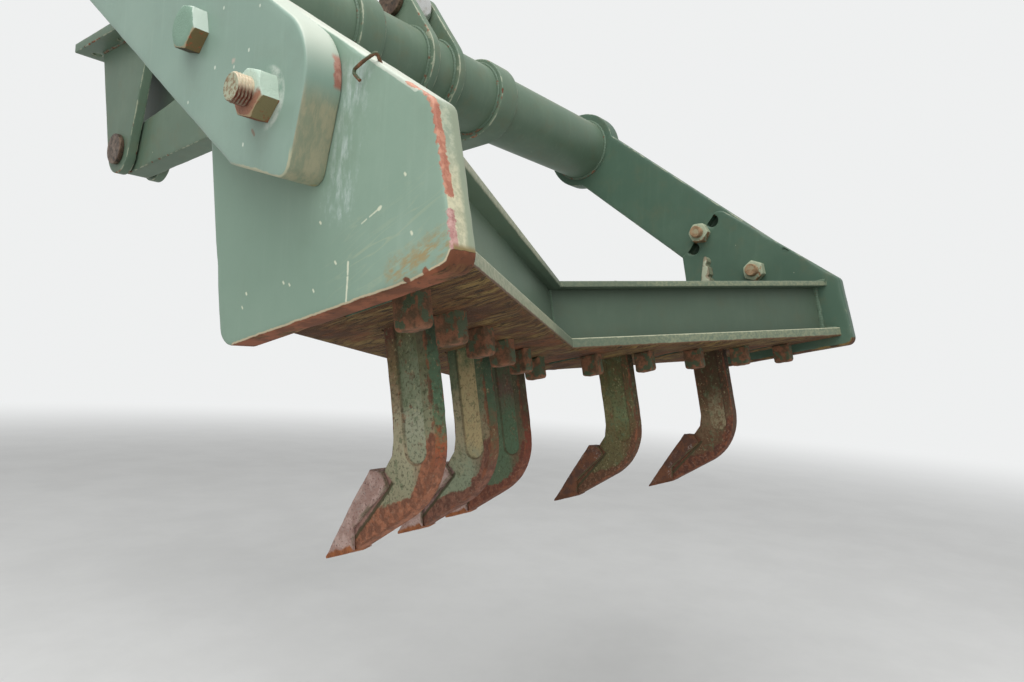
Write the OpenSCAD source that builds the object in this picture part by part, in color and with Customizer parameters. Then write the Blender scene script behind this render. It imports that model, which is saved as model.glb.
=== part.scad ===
// V-type scarifier of a motor grader, raised for the road.
// X points to the machine's left, Y to its rear and Z up. The origin is the middle of the
// face that bolts under the grader's frame. Millimetres and degrees.

/* [Block] */
// Width over the outer faces of the two end plates
block_w = 1330; // [1290:5:1600]
// Thickness of an end plate
end_plate_t = 32; // [16:1:45]
// How far the point of the V lies ahead of its ends
vee_reach = 308; // [200:1:420]
// Height of the block, from its underside to its top
block_h = 132; // [110:1:180]
// Gap between the underside of the block and the lower edge of the end plates
block_lift = 22; // [10:1:40]
// Thickness of the bottom flanges
bottom_t = 20; // [12:1:30]
// Thickness of the top flanges
top_t = 12; // [8:1:25]
// Width of the rear bar's bottom flange, measured fore and aft
rear_flange = 118; // [100:1:150]
// Width of the front bar's bottom flange, measured fore and aft
front_flange = 100; // [70:1:140]
// Depth of the channel left open behind the rear bar's web
rear_channel = 37; // [15:1:55]
// Depth of the channel left open ahead of the front bar's web
front_channel = 24; // [10:1:45]
// How much further in the top flanges end than the bottom ones
top_setback = 10; // [0:1:25]
// Distance of the rear bar's rear edge ahead of the end plates' rear corner
rear_edge = 23; // [0:1:35]
// Least wall between the outermost pocket and an end plate
last_wall = 20; // [10:1:40]

/* [Pockets and teeth] */
// Distance between the centres of two pockets, across the machine
pocket_pitch = 116; // [100:1:118]
// Thickness of a shank
shank_t = 25; // [18:1:32]
// Depth of a shank, fore and aft
shank_d = 76; // [60:1:84]
// Side clearance of a shank in its pocket
pocket_side_gap = 0.4; // [0.2:0.1:0.9]
// Free length in a pocket, fore and aft
pocket_free = 19; // [10:1:30]
// How far a shank reaches below the block before it bends
shank_leg = 140; // [90:1:200]
// Radius of a shank's heel
heel_r = 110; // [100:1:130]
// How far a shank stands out above the block
shank_stub = 30; // [5:1:60]
// Height of the narrow head on the one long shank
head_h = 57; // [20:1:110]
// Width of that head at its foot
head_w = 24; // [18:1:44]
// Width of that head at its top
head_top_w = 10; // [8:1:16]
// Depth of the long recess in each side of a shank
recess_depth = 3; // [1:0.5:6]
// Width of that recess
recess_w = 39; // [20:1:50]
// Distance of the recess's middle from the shank's rear face
recess_back = 36.5; // [32:0.5:38]
// Slope of a tip below level
tip_slope = 44; // [38:1:52]
// Length of a tip's upper face, from its corner to its point
tip_l = 165; // [150:1:190]
// Height of a tip, from its upper face to its lower corner
tip_h = 42; // [40:1:50]
// Distance of a tip's upper corner ahead of the shank's rear face
tip_ahead = 122; // [116:1:128]
// Depth of a tip's upper corner below the end of the shank's straight leg
tip_below = 36; // [30:1:44]
// Width of a tip at its point
tip_point_w = 26; // [12:1:34]
// Thickness of a tip above the shank's nose
tip_skin = 18; // [10:1:20]
// Thickness of the cheeks of a tip beside the shank's nose
tip_cheek = 6; // [4:1:10]
// How far the shank's nose reaches into a tip
nose_in = 104; // [80:1:110]
// Clearance between a shank's nose and its tip
tip_gap = 0.3; // [0.1:0.1:0.8]
// Height of the lugs below the block
lug_h = 43; // [25:1:60]
// Depth of a lug, fore and aft
lug_d = 40; // [25:1:45]
// Radius of a lug's lower corners
lug_r = 8; // [2:1:10]
// Distance of a lug behind its pocket
lug_back = 4; // [2:1:15]

/* [End plates] */
// Length of an end plate along its lower edge
plate_l = 375; // [360:1:440]
// Height of an end plate's rear edge
plate_rear_h = 153; // [120:1:200]
// Height of an end plate's upper corner
plate_top_h = 404; // [395:1:440]
// Distance of an end plate's upper corner ahead of its rear edge
plate_top_ahead = 257; // [250:1:265]
// Height at which the upper edge meets the front edge
plate_nose_h = 302; // [290:1:330]
// How far the rear edge and the front edge lean in at their upper ends
plate_lean = 4.5; // [0:0.5:8]
// Radius of the end plate's large corners
plate_r = 26; // [15:1:30]
// Radius of its small corners
plate_small_r = 17; // [8:1:22]
// Distance of the pivot bolt ahead of the plate's rear edge
pivot_ahead = 188; // [170:1:200]
// Height of the pivot bolt above the plate's lower edge
pivot_up = 216; // [205:1:225]
// Radius of the arc that the three pitch holes lie on
pitch_r = 180; // [160:1:184]
// Angle between two pitch holes
pitch_step = 13.5; // [11.5:0.5:15]
// Angle of the middle pitch hole above the plate's lower edge
pitch_mid = 47.5; // [45:0.5:50]
// Pitch hole that holds the bolt: 1 is the upper one, -1 the lower one
pitch_hole = 0; // [-1:1:1]

/* [Arms and cross tube] */
// Thickness of an arm
arm_t = 43; // [25:1:50]
// Width of an arm
arm_w = 164; // [140:1:176]
// How far an arm reaches past the pivot bolt
arm_foot = 84; // [78:1:92]
// Place along the arm where the chamfer of its foot starts, ahead of the pivot bolt
arm_foot_start = 18; // [10:1:30]
// Height of that chamfer
arm_chamfer = 36; // [20:1:45]
// Radius of an arm's heel
arm_heel_r = 75; // [50:1:76]
// How far the corner of the heel lies past the pivot bolt
arm_heel = 34; // [20:1:50]
// Radius of the foot's two small corners
arm_foot_r = 15; // [6:1:18]
// Rise of the arms towards the front, as they are when raised
arm_rise = 35; // [28:1:42]
// Distance from the pivot bolt to the cross tube's axis
arm_l = 680; // [560:1:760]
// Outer diameter of the cross tube
tube_d = 168; // [130:1:190]
// Wall of the cross tube
tube_wall = 14; // [8:1:25]
// Width of the rim that an arm has around the tube
arm_rim = 24; // [16:1:34]
// Width of the rim that a draft rail has around the tube
rail_rim = 14; // [10:1:20]
// Width of the rim that a lever plate has around the tube
lever_rim = 16; // [10:1:20]
// Gap at a welded seat round the tube
seat_gap = 0.1; // [0.05:0.05:0.2]
// Distance from the machine's middle to each draft rail
rail_x = 210; // [185:1:300]
// Width of a draft rail
rail_w = 60; // [40:1:80]
// Wall left around the bore at a rail's front eye
rail_eye_wall = 30; // [20:1:34]

/* [Hinge and saddle] */
// Distance from the hinge to the pivot bolts, fore and aft
reach = 1470; // [1380:5:1600]
// Height of the hinge above the pivot bolts
drop = 279; // [240:1:320]
// Height of the frame face above the hinge
hinge_depth = 330; // [300:1:380]
// Diameter of the two hinge pins
hinge_pin_d = 60; // [40:1:80]
// Thickness of the four hinge ears
ear_t = 25; // [16:1:35]
// Length of a hinge ear's foot ahead of the hinge
ear_front = 145; // [110:1:160]
// Length of a hinge ear's foot behind the hinge
ear_rear = 165; // [120:1:180]
// Wall left around the bore in a hinge ear
ear_wall = 35; // [25:1:40]
// Side clearance between moving parts
side_gap = 5; // [5:1:8]
// Running clearance of a pin, on the radius
run_gap = 0.05; // [0.02:0.01:0.1]
// Thickness of the saddle plate
saddle_t = 25; // [16:1:40]
// Width of the saddle plate
saddle_w = 640; // [620:1:800]
// Length of the saddle plate
saddle_l = 440; // [400:1:520]
// Diameter of the saddle's bolt holes
saddle_hole_d = 26; // [18:1:32]
// Distance of a bolt hole from the edges of the saddle
saddle_edge = 45; // [30:1:60]

/* [Lift cylinder] */
// Outer diameter of the cylinder's barrel
barrel_d = 95; // [75:1:100]
// Length of the barrel
barrel_l = 620; // [560:5:660]
// Length of the gland at its rear end
gland_l = 55; // [40:1:80]
// Thickness of the gland outside the barrel
gland_wall = 6; // [3:1:10]
// Diameter of the two oil ports
port_d = 34; // [25:1:40]
// Height of an oil port above the barrel
port_h = 22; // [12:1:30]
// Distance of an oil port from its end of the barrel or from the gland
port_in = 32; // [25:1:60]
// Diameter of the rod
rod_d = 45; // [30:1:55]
// Length of rod inside the barrel when it is drawn in
rod_in = 235; // [180:5:300]
// Length of the free space ahead of the drawn-in rod
rod_free = 10; // [5:1:40]
// Diameter of the two cylinder pins
cyl_pin_d = 50; // [35:1:54]
// Wall around the cylinder pins in the eyes and ears
cyl_eye_wall = 17; // [12:1:19]
// Play of the lever's pin in the rod's eye, on the radius
rod_eye_play = 5; // [4.8:0.1:7]
// Length of the foot of a cylinder ear, ahead of its pin and behind it
cyl_ear_foot = 75; // [55:1:90]
// Width of the cylinder's eyes
eye_w = 50; // [40:1:60]
// Thickness of the cylinder's ears and of the lever plates
lever_t = 20; // [14:1:30]
// Distance of the cylinder's front pin behind the hinge
cyl_front_y = 0; // [-40:5:40]
// Depth of the cylinder's front pin below the frame face
cyl_front_z = 150; // [140:5:180]
// Height of the lever's pin above the cross tube's axis
lever_up = 157; // [150:1:160]
// Distance of the lever's pin ahead of the cross tube's axis
lever_ahead = 43; // [20:1:60]

/* [Bolts] */
// Gap under a pin's head
pin_head_gap = 0.3; // [0.1:0.1:0.8]
// Diameter of the pivot bolts
pivot_bolt_d = 30; // [27:1:40]
// Width of the pivot bolts' hexagon across its flats
pivot_hex = 46; // [44:1:60]
// Diameter of the pitch bolts
pitch_bolt_d = 30; // [22:1:32]
// Width of the pitch bolts' hexagon across its flats
pitch_hex = 46; // [38:1:50]
// Clearance of a bolt in its hole, on the radius
bolt_gap = 0.5; // [0.3:0.1:0.9]
// Length of thread that stands out of a nut
thread_out = 16; // [5:1:40]
// Thickness of a pin's head
pin_head_t = 12; // [8:1:20]
// How far a pin's head stands out beyond the pin
pin_head_lip = 12; // [6:1:18]
// How far a pin stands out of its ears at the other end
pin_end = 6; // [3:1:15]

/* [Hidden] */
$fn = 64;
// Angle of one step along an arc that is worked out as points
arc_step = 6;
// Share of a bolt's diameter that its head and its nut are high
head_share = 0.62;
nut_share = 0.7;
// Shares of a tip's length where its sides start to taper and where its belly bends, and the
// share of its height that is left at that bend
tip_taper_share = 0.42;
tip_belly_share = 0.72;
tip_bend_share = 0.82;
// Shares of a tip's height by which its rear end stands behind its upper corner, at its middle
// and at its lower edge
tip_rear_share = 1 / 3;
tip_foot_share = 1 / 5;
// Run and drop of the seam that ends a tip's cheek, behind the end of the shank's nose
cheek_run = 22;
cheek_drop = 6;
// How far the upper face of a shank's nose runs back behind the tip's corner
nose_behind = 38;
// Share of the narrow head's height above which its top is rounded, and depth of that rounding
head_round_share = 0.88;
head_round = 3;
// Notches in the head's rear edge: their depth, the share of a notch that each flank takes, and
// the shares of the head's height where each notch starts and how much of it each one takes
notch_depth = 4;
flank_share = 0.35;
START = 0;
LENGTH = 1;
notch_table = [[0.07, 0.19], [0.52, 0.28]];

GREEN = "#7f9d86";
DARK_GREEN = "#5f7d68";
RUST = "#7d4a34";
WORN = "#8a8266";

// Places in the machine's frame
hinge_z = -hinge_depth;
pivot_y = reach;
pivot_z = hinge_z - drop;
tube_y = pivot_y - arm_l * cos(arm_rise);
tube_z = pivot_z + arm_l * sin(arm_rise);
block_pitch = pitch_mid + pitch_hole * pitch_step - arm_rise;

// Sizes of the block in its own frame: the origin is the lower rear corner line of the end
// plates, a distance ahead of it is called ahead, and Z is up
inner_x = block_w / 2 - end_plate_t;
sweep = atan(vee_reach / inner_x);
spacer_from = rear_edge + rear_flange;
slot_l = shank_d + pocket_free;
spacer_to = spacer_from + slot_l;
front_edge = spacer_to + front_flange;
block_top = block_lift + block_h;
slot_w = shank_t + 2 * pocket_side_gap;
pockets_a_side = floor((inner_x - last_wall - slot_w / 2) / pocket_pitch);
shank_ahead = spacer_from + pocket_free / 2;
lug_ahead = spacer_from - lug_d - lug_back;

// The shanks from the machine's left to its right: pocket, counted from the middle, and the
// height of the head above the stub
POCKET = 0;
HEAD = 1;
shank_table = [[4, 0], [2, 0], [0, 0], [-2, 0], [-4, head_h]];

// Bolt sides: 1 puts the nut outside the arm and -1 inside the end plate
pivot_nut_side = [1, -1];
pitch_nut_side = [-1, -1];

// Distance of the V's line ahead of the plates' rear corner at a place across the machine
function vee(x) = vee_reach * (1 - abs(x) / inner_x);

// Points of an outline whose corners, given as [x, y, radius], are rounded by arcs
function unit(v) = v / norm(v);
function corner_arc(p, q, s) =
    let (
        a = unit([p.x - q.x, p.y - q.y]),
        b = unit([s.x - q.x, s.y - q.y]),
        half = acos(a * b) / 2,
        back = q.z / tan(half),
        centre = [q.x, q.y] + unit(a + b) * q.z / sin(half),
        from = [q.x, q.y] + a * back - centre,
        to = [q.x, q.y] + b * back - centre,
        start = atan2(from.y, from.x),
        turn = atan2(from.x * to.y - from.y * to.x, from * to),
        steps = ceil(abs(turn) / arc_step)
    )
    q.z == 0 ? [[q.x, q.y]] :
    [for (i = [0:steps]) centre + q.z * [cos(start + turn * i / steps), sin(start + turn * i / steps)]];
function rounded(pts) =
    [for (i = [0:len(pts) - 1])
        each corner_arc(pts[(i + len(pts) - 1) % len(pts)], pts[i], pts[(i + 1) % len(pts)])];

// Points of an arc from one angle to another
function arc_points(centre, r, from, to) =
    let (steps = ceil(abs(to - from) / arc_step))
    [for (i = [0:steps]) let (a = from + (to - from) * i / steps) centre + r * [cos(a), sin(a)]];

// Angle at which a line from a point touches a circle: way 1 turns left of the point, -1 right
function touch(centre, r, from, way) =
    let (d = from - centre) atan2(d.y, d.x) + way * acos(r / norm(d));

// Outline of a strap that runs from one round end to another
module strap(p1, r1, p2, r2) {
    along = atan2(p2.y - p1.y, p2.x - p1.x);
    lean = acos((r1 - r2) / norm(p2 - p1));
    polygon(concat(
        arc_points(p2, r2, along - lean, along + lean),
        arc_points(p1, r1, along + lean, along + 360 - lean)
    ));
}

// An outline drawn with rearward as x and up as y, as a plate from one place across the
// machine to another
module plate_across(x_from, x_to) {
    translate([x_from, 0, 0]) rotate([90, 0, 90]) linear_extrude(x_to - x_from) children();
}

// A round bar across the machine at a place given as [rearward, up]
module bar_across(p, d, x_from, x_to) {
    translate([x_from, p.x, p.y]) rotate([0, 90, 0]) cylinder(d = d, h = x_to - x_from);
}

// The block's own frame, pitched by the hole that holds the pitch bolts
module in_block() {
    translate([0, pivot_y, pivot_z]) rotate([block_pitch, 0, 0])
        translate([0, pivot_ahead, -pivot_up]) children();
}

// The arms' own frame: x runs up along the arm from the pivot bolt, y is square to it
module in_arm() {
    translate([pivot_y, pivot_z]) mirror([1, 0]) rotate(arm_rise) children();
}

// Saddle: the plate under the grader's frame, with the hinge ears and the cylinder's ears
module ear_outline(front, rear, at, r, bore_d) {
    feet = [[rear, -saddle_t], [front, -saddle_t]];
    difference() {
        polygon(concat(feet, arc_points(at, r, touch(at, r, feet[1], 1), 360 + touch(at, r, feet[0], -1))));
        translate(at) circle(d = bore_d);
    }
}

// A pair of plates, one each side of what turns between them
module pair_of_plates(gap, t) {
    for (way = [0, 1]) mirror([way, 0, 0]) plate_across(gap / 2, gap / 2 + t) children();
}

hinge_at = [0, hinge_z];
cyl_front_at = [cyl_front_y, -cyl_front_z];
hinge_gap = rail_w + 2 * side_gap;
cyl_gap = eye_w + 2 * side_gap;
hinge_bore = hinge_pin_d + 2 * run_gap;
cyl_bore = cyl_pin_d + 2 * run_gap;
cyl_eye_r = cyl_pin_d / 2 + cyl_eye_wall;

module frame_saddle() {
    hole_x = saddle_w / 2 - saddle_edge;
    hole_y = saddle_l / 2 - saddle_edge;
    color(GREEN) {
        difference() {
            translate([-saddle_w / 2, -saddle_l / 2, -saddle_t])
                cube([saddle_w, saddle_l, saddle_t]);
            for (x = [-hole_x, hole_x], y = [-hole_y, 0, hole_y])
                translate([x, y, -saddle_t]) cylinder(d = saddle_hole_d, h = saddle_t);
        }
        for (side = [-1, 1]) translate([side * rail_x, 0, 0])
            pair_of_plates(hinge_gap, ear_t)
                ear_outline(-ear_front, ear_rear, hinge_at, hinge_pin_d / 2 + ear_wall, hinge_bore);
        pair_of_plates(cyl_gap, lever_t)
            ear_outline(cyl_front_y - cyl_ear_foot, cyl_front_y + cyl_ear_foot, cyl_front_at, cyl_eye_r, cyl_bore);
    }
}

// A pin across a pair of ears, with a flat head on the side that way gives
module headed_pin(at, d, gap, t, way) {
    half = gap / 2 + t;
    head = half + pin_head_gap;
    mirror([way > 0 ? 0 : 1, 0, 0]) {
        bar_across(at, d, -half - pin_end, head + 1);
        bar_across(at, d + 2 * pin_head_lip, head, head + pin_head_t);
    }
}

module hinge_pin(side) {
    color(RUST) translate([side * rail_x, 0, 0]) headed_pin(hinge_at, hinge_pin_d, hinge_gap, ear_t, side);
}

module cylinder_front_pin() {
    color(RUST) headed_pin(cyl_front_at, cyl_pin_d, cyl_gap, lever_t, 1);
}

// Yoke that carries the block: cross tube, two draft rails and the lever plates
module cross_tube() {
    half = block_w / 2;
    color(GREEN) difference() {
        bar_across(tube_at, tube_d, -half, half);
        bar_across(tube_at, tube_d - 2 * tube_wall, -half, half);
    }
}

tube_at = [tube_y, tube_z];
lever_at = [tube_y - lever_ahead, tube_z + lever_up];

module draft_rail(side) {
    color(GREEN) translate([side * rail_x, 0, 0]) plate_across(-rail_w / 2, rail_w / 2)
        difference() {
            strap(hinge_at, hinge_pin_d / 2 + rail_eye_wall, tube_at, tube_d / 2 + rail_rim);
            translate(hinge_at) circle(d = hinge_bore);
            translate(tube_at) circle(d = tube_d + 2 * seat_gap);
        }
}

module lift_lever() {
    color(GREEN) pair_of_plates(cyl_gap, lever_t)
        difference() {
            strap(tube_at, tube_d / 2 + lever_rim, lever_at, cyl_eye_r);
            translate(lever_at) circle(d = cyl_bore);
            translate(tube_at) circle(d = tube_d + 2 * seat_gap);
        }
}

module lever_pin() {
    color(RUST) headed_pin(lever_at, cyl_pin_d, cyl_gap, lever_t, 1);
}

// Arms: thick plates outside the end plates, with a chamfered foot and a rounded heel
module arm_outline() {
    half = arm_w / 2;
    end_r = tube_d / 2 + arm_rim;
    opening = asin(half / end_r);
    end_x = arm_l - end_r * cos(opening);
    in_arm() difference() {
        polygon(concat(
            rounded([
                [end_x, -half, 0], [arm_foot_start, -half, arm_foot_r],
                [-arm_foot, arm_chamfer - half, arm_foot_r], [-arm_heel, half, arm_heel_r], [end_x, half, 0]
            ]),
            arc_points([arm_l, 0], end_r, 180 - opening, opening - 180)
        ));
        circle(d = pivot_bolt_d + 2 * bolt_gap);
        translate([pitch_r, 0]) circle(d = pitch_bolt_d + 2 * bolt_gap);
    }
}

module arm(side) {
    inner = block_w / 2;
    color(GREEN) plate_across(side > 0 ? inner : -inner - arm_t, side > 0 ? inner + arm_t : -inner)
        arm_outline();
}

// End plates
module end_plate_outline() {
    difference() {
        polygon(rounded([
            [0, 0, plate_small_r], [-plate_lean, plate_rear_h, plate_small_r],
            [-plate_top_ahead, plate_top_h, plate_r], [-plate_l + plate_lean, plate_nose_h, plate_lean],
            [-plate_l, 0, plate_r]
        ]));
        translate([-pivot_ahead, pivot_up]) circle(d = pivot_bolt_d + 2 * bolt_gap);
        for (k = [-1:1]) let (a = pitch_mid + k * pitch_step)
            translate([-pivot_ahead, pivot_up] + pitch_r * [-cos(a), sin(a)])
                circle(d = pitch_bolt_d + 2 * bolt_gap);
    }
}

module end_plate(side) {
    color(GREEN) in_block()
        plate_across(side > 0 ? inner_x : -inner_x - end_plate_t, side > 0 ? inner_x + end_plate_t : -inner_x)
            end_plate_outline();
}

// Block: a rear and a front channel bar on each side, mitred at the point of the V
module leg(side, outline_ahead) {
    long = 2 * inner_x;
    square_up = cos(sweep);
    in_block() mirror([side > 0 ? 0 : 1, 0, 0]) intersection() {
        translate([0, -vee_reach, 0]) rotate([0, 0, sweep])
            plate_across(-inner_x, long)
                polygon([for (p = outline_ahead) [-p.x * square_up, p.y]]);
        translate([0, -long, -block_top]) cube([inner_x, 2 * long, 3 * block_top]);
    }
}

module rear_bar(side) {
    web = rear_edge + rear_channel;
    color(GREEN) leg(side, [
        [rear_edge, block_lift], [spacer_from, block_lift], [spacer_from, block_top],
        [rear_edge + top_setback, block_top], [rear_edge + top_setback, block_top - top_t],
        [web, block_top - top_t], [web, block_lift + bottom_t], [rear_edge, block_lift + bottom_t]
    ]);
}

module front_bar(side) {
    web = front_edge - front_channel;
    color(DARK_GREEN) leg(side, [
        [spacer_to, block_lift], [front_edge, block_lift], [front_edge, block_lift + bottom_t],
        [web, block_lift + bottom_t], [web, block_top - top_t],
        [front_edge - top_setback, block_top - top_t], [front_edge - top_setback, block_top],
        [spacer_to, block_top]
    ]);
}

// Spacers between the bars leave the eleven pockets open
module pocket_spacers() {
    color(DARK_GREEN) in_block() for (side = [-1, 1], i = [0:pockets_a_side]) {
        x0 = i * pocket_pitch + slot_w / 2;
        x1 = i < pockets_a_side ? (i + 1) * pocket_pitch - slot_w / 2 : inner_x;
        mirror([side > 0 ? 0 : 1, 0, 0]) translate([0, 0, block_lift]) linear_extrude(block_h)
            polygon([
                [x0, -vee(x0) - spacer_from], [x1, -vee(x1) - spacer_from],
                [x1, -vee(x1) - spacer_to], [x0, -vee(x0) - spacer_to]
            ]);
    }
}

// A lug hangs under the block behind each pocket
module pocket_lugs() {
    color(RUST) in_block() for (i = [-pockets_a_side:pockets_a_side]) {
        x = i * pocket_pitch;
        back = -vee(x) - lug_ahead;
        translate([0, 0, block_lift]) plate_across(x - shank_t / 2, x + shank_t / 2)
            polygon(rounded([
                [back, 0, 0], [back, -lug_h, lug_r], [back - lug_d, -lug_h, lug_r], [back - lug_d, 0, 0]
            ]));
    }
}

// Teeth, in a frame whose x runs ahead from the shank's rear face and whose y is up from the
// block's underside. A place on the tip is given along its upper face and square to it.
function on_tip(along, up) =
    [tip_ahead, -shank_leg - tip_below]
    + along * [cos(tip_slope), -sin(tip_slope)] + up * [sin(tip_slope), cos(tip_slope)];
heel_at = [heel_r, -shank_leg];
nose_low = on_tip(nose_in, -tip_h);

module in_tooth(n) {
    x = shank_table[n][POCKET] * pocket_pitch;
    in_block() translate([x, -vee(x) - shank_ahead, block_lift]) mirror([0, 1, 0]) children();
}

// The heel is an arc that a straight belly leaves towards the lower end of the nose
module shank_outline(head) {
    top = block_h + shank_stub;
    polygon(concat(
        [[shank_d, top], [0, top]],
        arc_points(heel_at, heel_r, 180, 360 + touch(heel_at, heel_r, nose_low, -1)),
        [nose_low, on_tip(nose_in, -tip_skin), on_tip(-nose_behind, -tip_skin), [shank_d, -shank_leg]]
    ));
    if (head > 0)
        difference() {
            polygon([
                [0, top - 1], [head_w, top - 1], [head_top_w, top + head * head_round_share],
                [head_top_w - head_round, top + head], [head_round, top + head],
                [0, top + head * head_round_share]
            ]);
            for (notch = notch_table)
                translate([0, top + head * notch[START]])
                    polygon([
                        [-1, 0], [notch_depth, head * notch[LENGTH] * flank_share],
                        [notch_depth, head * notch[LENGTH] * (1 - flank_share)],
                        [-1, head * notch[LENGTH]]
                    ]);
        }
}

module recess_outline() {
    low = -shank_leg - recess_w / 2;
    translate([recess_back, low]) circle(d = recess_w);
    translate([recess_back - recess_w / 2, low]) square([recess_w, block_h - low]);
}

module shank(n) {
    half = shank_t / 2;
    color(WORN) in_tooth(n) difference() {
        plate_across(-half, half) shank_outline(shank_table[n][HEAD]);
        plate_across(-half - 1, -half + recess_depth) recess_outline();
        plate_across(half - recess_depth, half + 1) recess_outline();
    }
}

// The tip is a pointed cap over the shank's nose. Its cheeks end at a seam that rises towards
// the point, so the belly of the nose stays open to view.
module tip(n) {
    half = shank_t / 2 + tip_cheek;
    slot = shank_t / 2 + tip_gap;
    taper_from = tip_taper_share * tip_l;
    color(RUST) in_tooth(n) difference() {
        intersection() {
            plate_across(-half, half) polygon([
                on_tip(0, 0), on_tip(tip_l, 0), on_tip(tip_belly_share * tip_l, -tip_bend_share * tip_h),
                on_tip(nose_in, -tip_h), on_tip(nose_in - cheek_run, -tip_skin - cheek_drop),
                on_tip(-tip_foot_share * tip_h, -tip_h), on_tip(-tip_rear_share * tip_h, -tip_h / 2)
            ]);
            translate([0, tip_ahead, -shank_leg - tip_below]) rotate([-tip_slope, 0, 0])
                translate([0, 0, -2 * tip_h]) linear_extrude(4 * tip_h)
                    polygon([
                        [-half, -tip_l], [half, -tip_l], [half, taper_from], [tip_point_w / 2, tip_l],
                        [-tip_point_w / 2, tip_l], [-half, taper_from]
                    ]);
        }
        plate_across(-slot, slot) polygon([
            on_tip(-tip_l, tip_gap - tip_skin), on_tip(nose_in + tip_gap, tip_gap - tip_skin),
            on_tip(nose_in + tip_gap, -2 * tip_h), on_tip(-tip_l, -2 * tip_h)
        ]);
    }
}

// Bolts and nuts: at is the place [ahead, up] in the block's frame
module hex_bar(at, flats, x_from, x_to, turn) {
    translate([x_from, -at.x, at.y]) rotate([0, 90, 0]) rotate(turn)
        cylinder(d = flats / cos(30), h = x_to - x_from, $fn = 6);
}

// Faces that a bolt clamps: inside the end plate and outside the arm
clamp_in = inner_x;
clamp_out = block_w / 2 + arm_t;

module bolt(side, at, d, flats, nut_side, turn) {
    head = d * head_share;
    nut = d * nut_share;
    head_from = nut_side > 0 ? clamp_in - head : clamp_out;
    from = nut_side > 0 ? head_from + 1 : clamp_in - nut - thread_out;
    to = nut_side > 0 ? clamp_out + nut + thread_out : head_from + head - 1;
    in_block() mirror([side > 0 ? 0 : 1, 0, 0]) {
        translate([from, -at.x, at.y]) rotate([0, 90, 0]) cylinder(d = d, h = to - from);
        hex_bar(at, flats, head_from, head_from + head, turn);
    }
}

module nut(side, at, d, flats, nut_side, turn) {
    nut = d * nut_share;
    from = nut_side > 0 ? clamp_out : clamp_in - nut;
    in_block() translate([side > 0 ? from : -from - nut, -at.x, at.y]) rotate([90, 0, 90])
        linear_extrude(nut) difference() {
            rotate(turn) circle(d = flats / cos(30), $fn = 6);
            circle(d = d + 2 * run_gap);
        }
}

function side_index(side) = side > 0 ? 0 : 1;
pivot_at = [pivot_ahead, pivot_up];
pitch_angle = pitch_mid + pitch_hole * pitch_step;
pitch_at = pivot_at + pitch_r * [cos(pitch_angle), sin(pitch_angle)];

module pivot_bolt(side) {
    color(RUST) bolt(side, pivot_at, pivot_bolt_d, pivot_hex, pivot_nut_side[side_index(side)], 8);
}
module pivot_nut(side) {
    color(RUST) nut(side, pivot_at, pivot_bolt_d, pivot_hex, pivot_nut_side[side_index(side)], 44);
}
module pitch_bolt(side) {
    color(GREEN) bolt(side, pitch_at, pitch_bolt_d, pitch_hex, pitch_nut_side[side_index(side)], 14);
}
module pitch_nut(side) {
    color(RUST) nut(side, pitch_at, pitch_bolt_d, pitch_hex, pitch_nut_side[side_index(side)], 3);
}

// Lift cylinder: its own frame has z along the rod from the front pin
cyl_run = lever_at - cyl_front_at;
cyl_length = norm(cyl_run);
cyl_angle = atan2(cyl_run.y, cyl_run.x);
barrel_from = cyl_ear_foot + side_gap;
barrel_to = barrel_from + barrel_l;
rod_from = barrel_to - rod_in;

module in_cylinder() {
    translate([0, cyl_front_y, -cyl_front_z]) rotate([cyl_angle - 90, 0, 0]) children();
}

// A round eye at a place along the rod, and the bore through it
module eye_at(z, bore_d) {
    translate([-eye_w / 2, 0, z]) rotate([0, 90, 0]) cylinder(d = bore_d + 2 * cyl_eye_wall, h = eye_w);
}

module eye_bore_at(z, bore_d) {
    translate([-eye_w / 2 - 1, 0, z]) rotate([0, 90, 0]) cylinder(d = bore_d, h = eye_w + 2);
}

module lift_cylinder() {
    neck = 2 * cyl_eye_r - cyl_eye_wall;
    ports = [barrel_from + port_in, barrel_to - gland_l - port_in];
    color(GREEN) in_cylinder() difference() {
        union() {
            eye_at(0, cyl_bore);
            translate([-eye_w / 2, -neck / 2, 0]) cube([eye_w, neck, barrel_from + 1]);
            translate([0, 0, barrel_from]) cylinder(d = barrel_d, h = barrel_l);
            translate([0, 0, barrel_to - gland_l]) cylinder(d = barrel_d + 2 * gland_wall, h = gland_l);
            for (z = ports) translate([0, 0, z]) rotate([90, 0, 0]) cylinder(d = port_d, h = barrel_d / 2 + port_h);
        }
        eye_bore_at(0, cyl_bore);
        translate([0, 0, rod_from - rod_free]) cylinder(d = rod_d + 2 * run_gap, h = rod_in + rod_free + 1);
    }
}

module lift_rod() {
    bore = cyl_pin_d + 2 * rod_eye_play;
    color("#9a9a94") in_cylinder() difference() {
        union() {
            eye_at(cyl_length, bore);
            translate([0, 0, rod_from]) cylinder(d = rod_d, h = cyl_length - bore / 2 - cyl_eye_wall / 2 - rod_from);
        }
        eye_bore_at(cyl_length, bore);
    }
}

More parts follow.
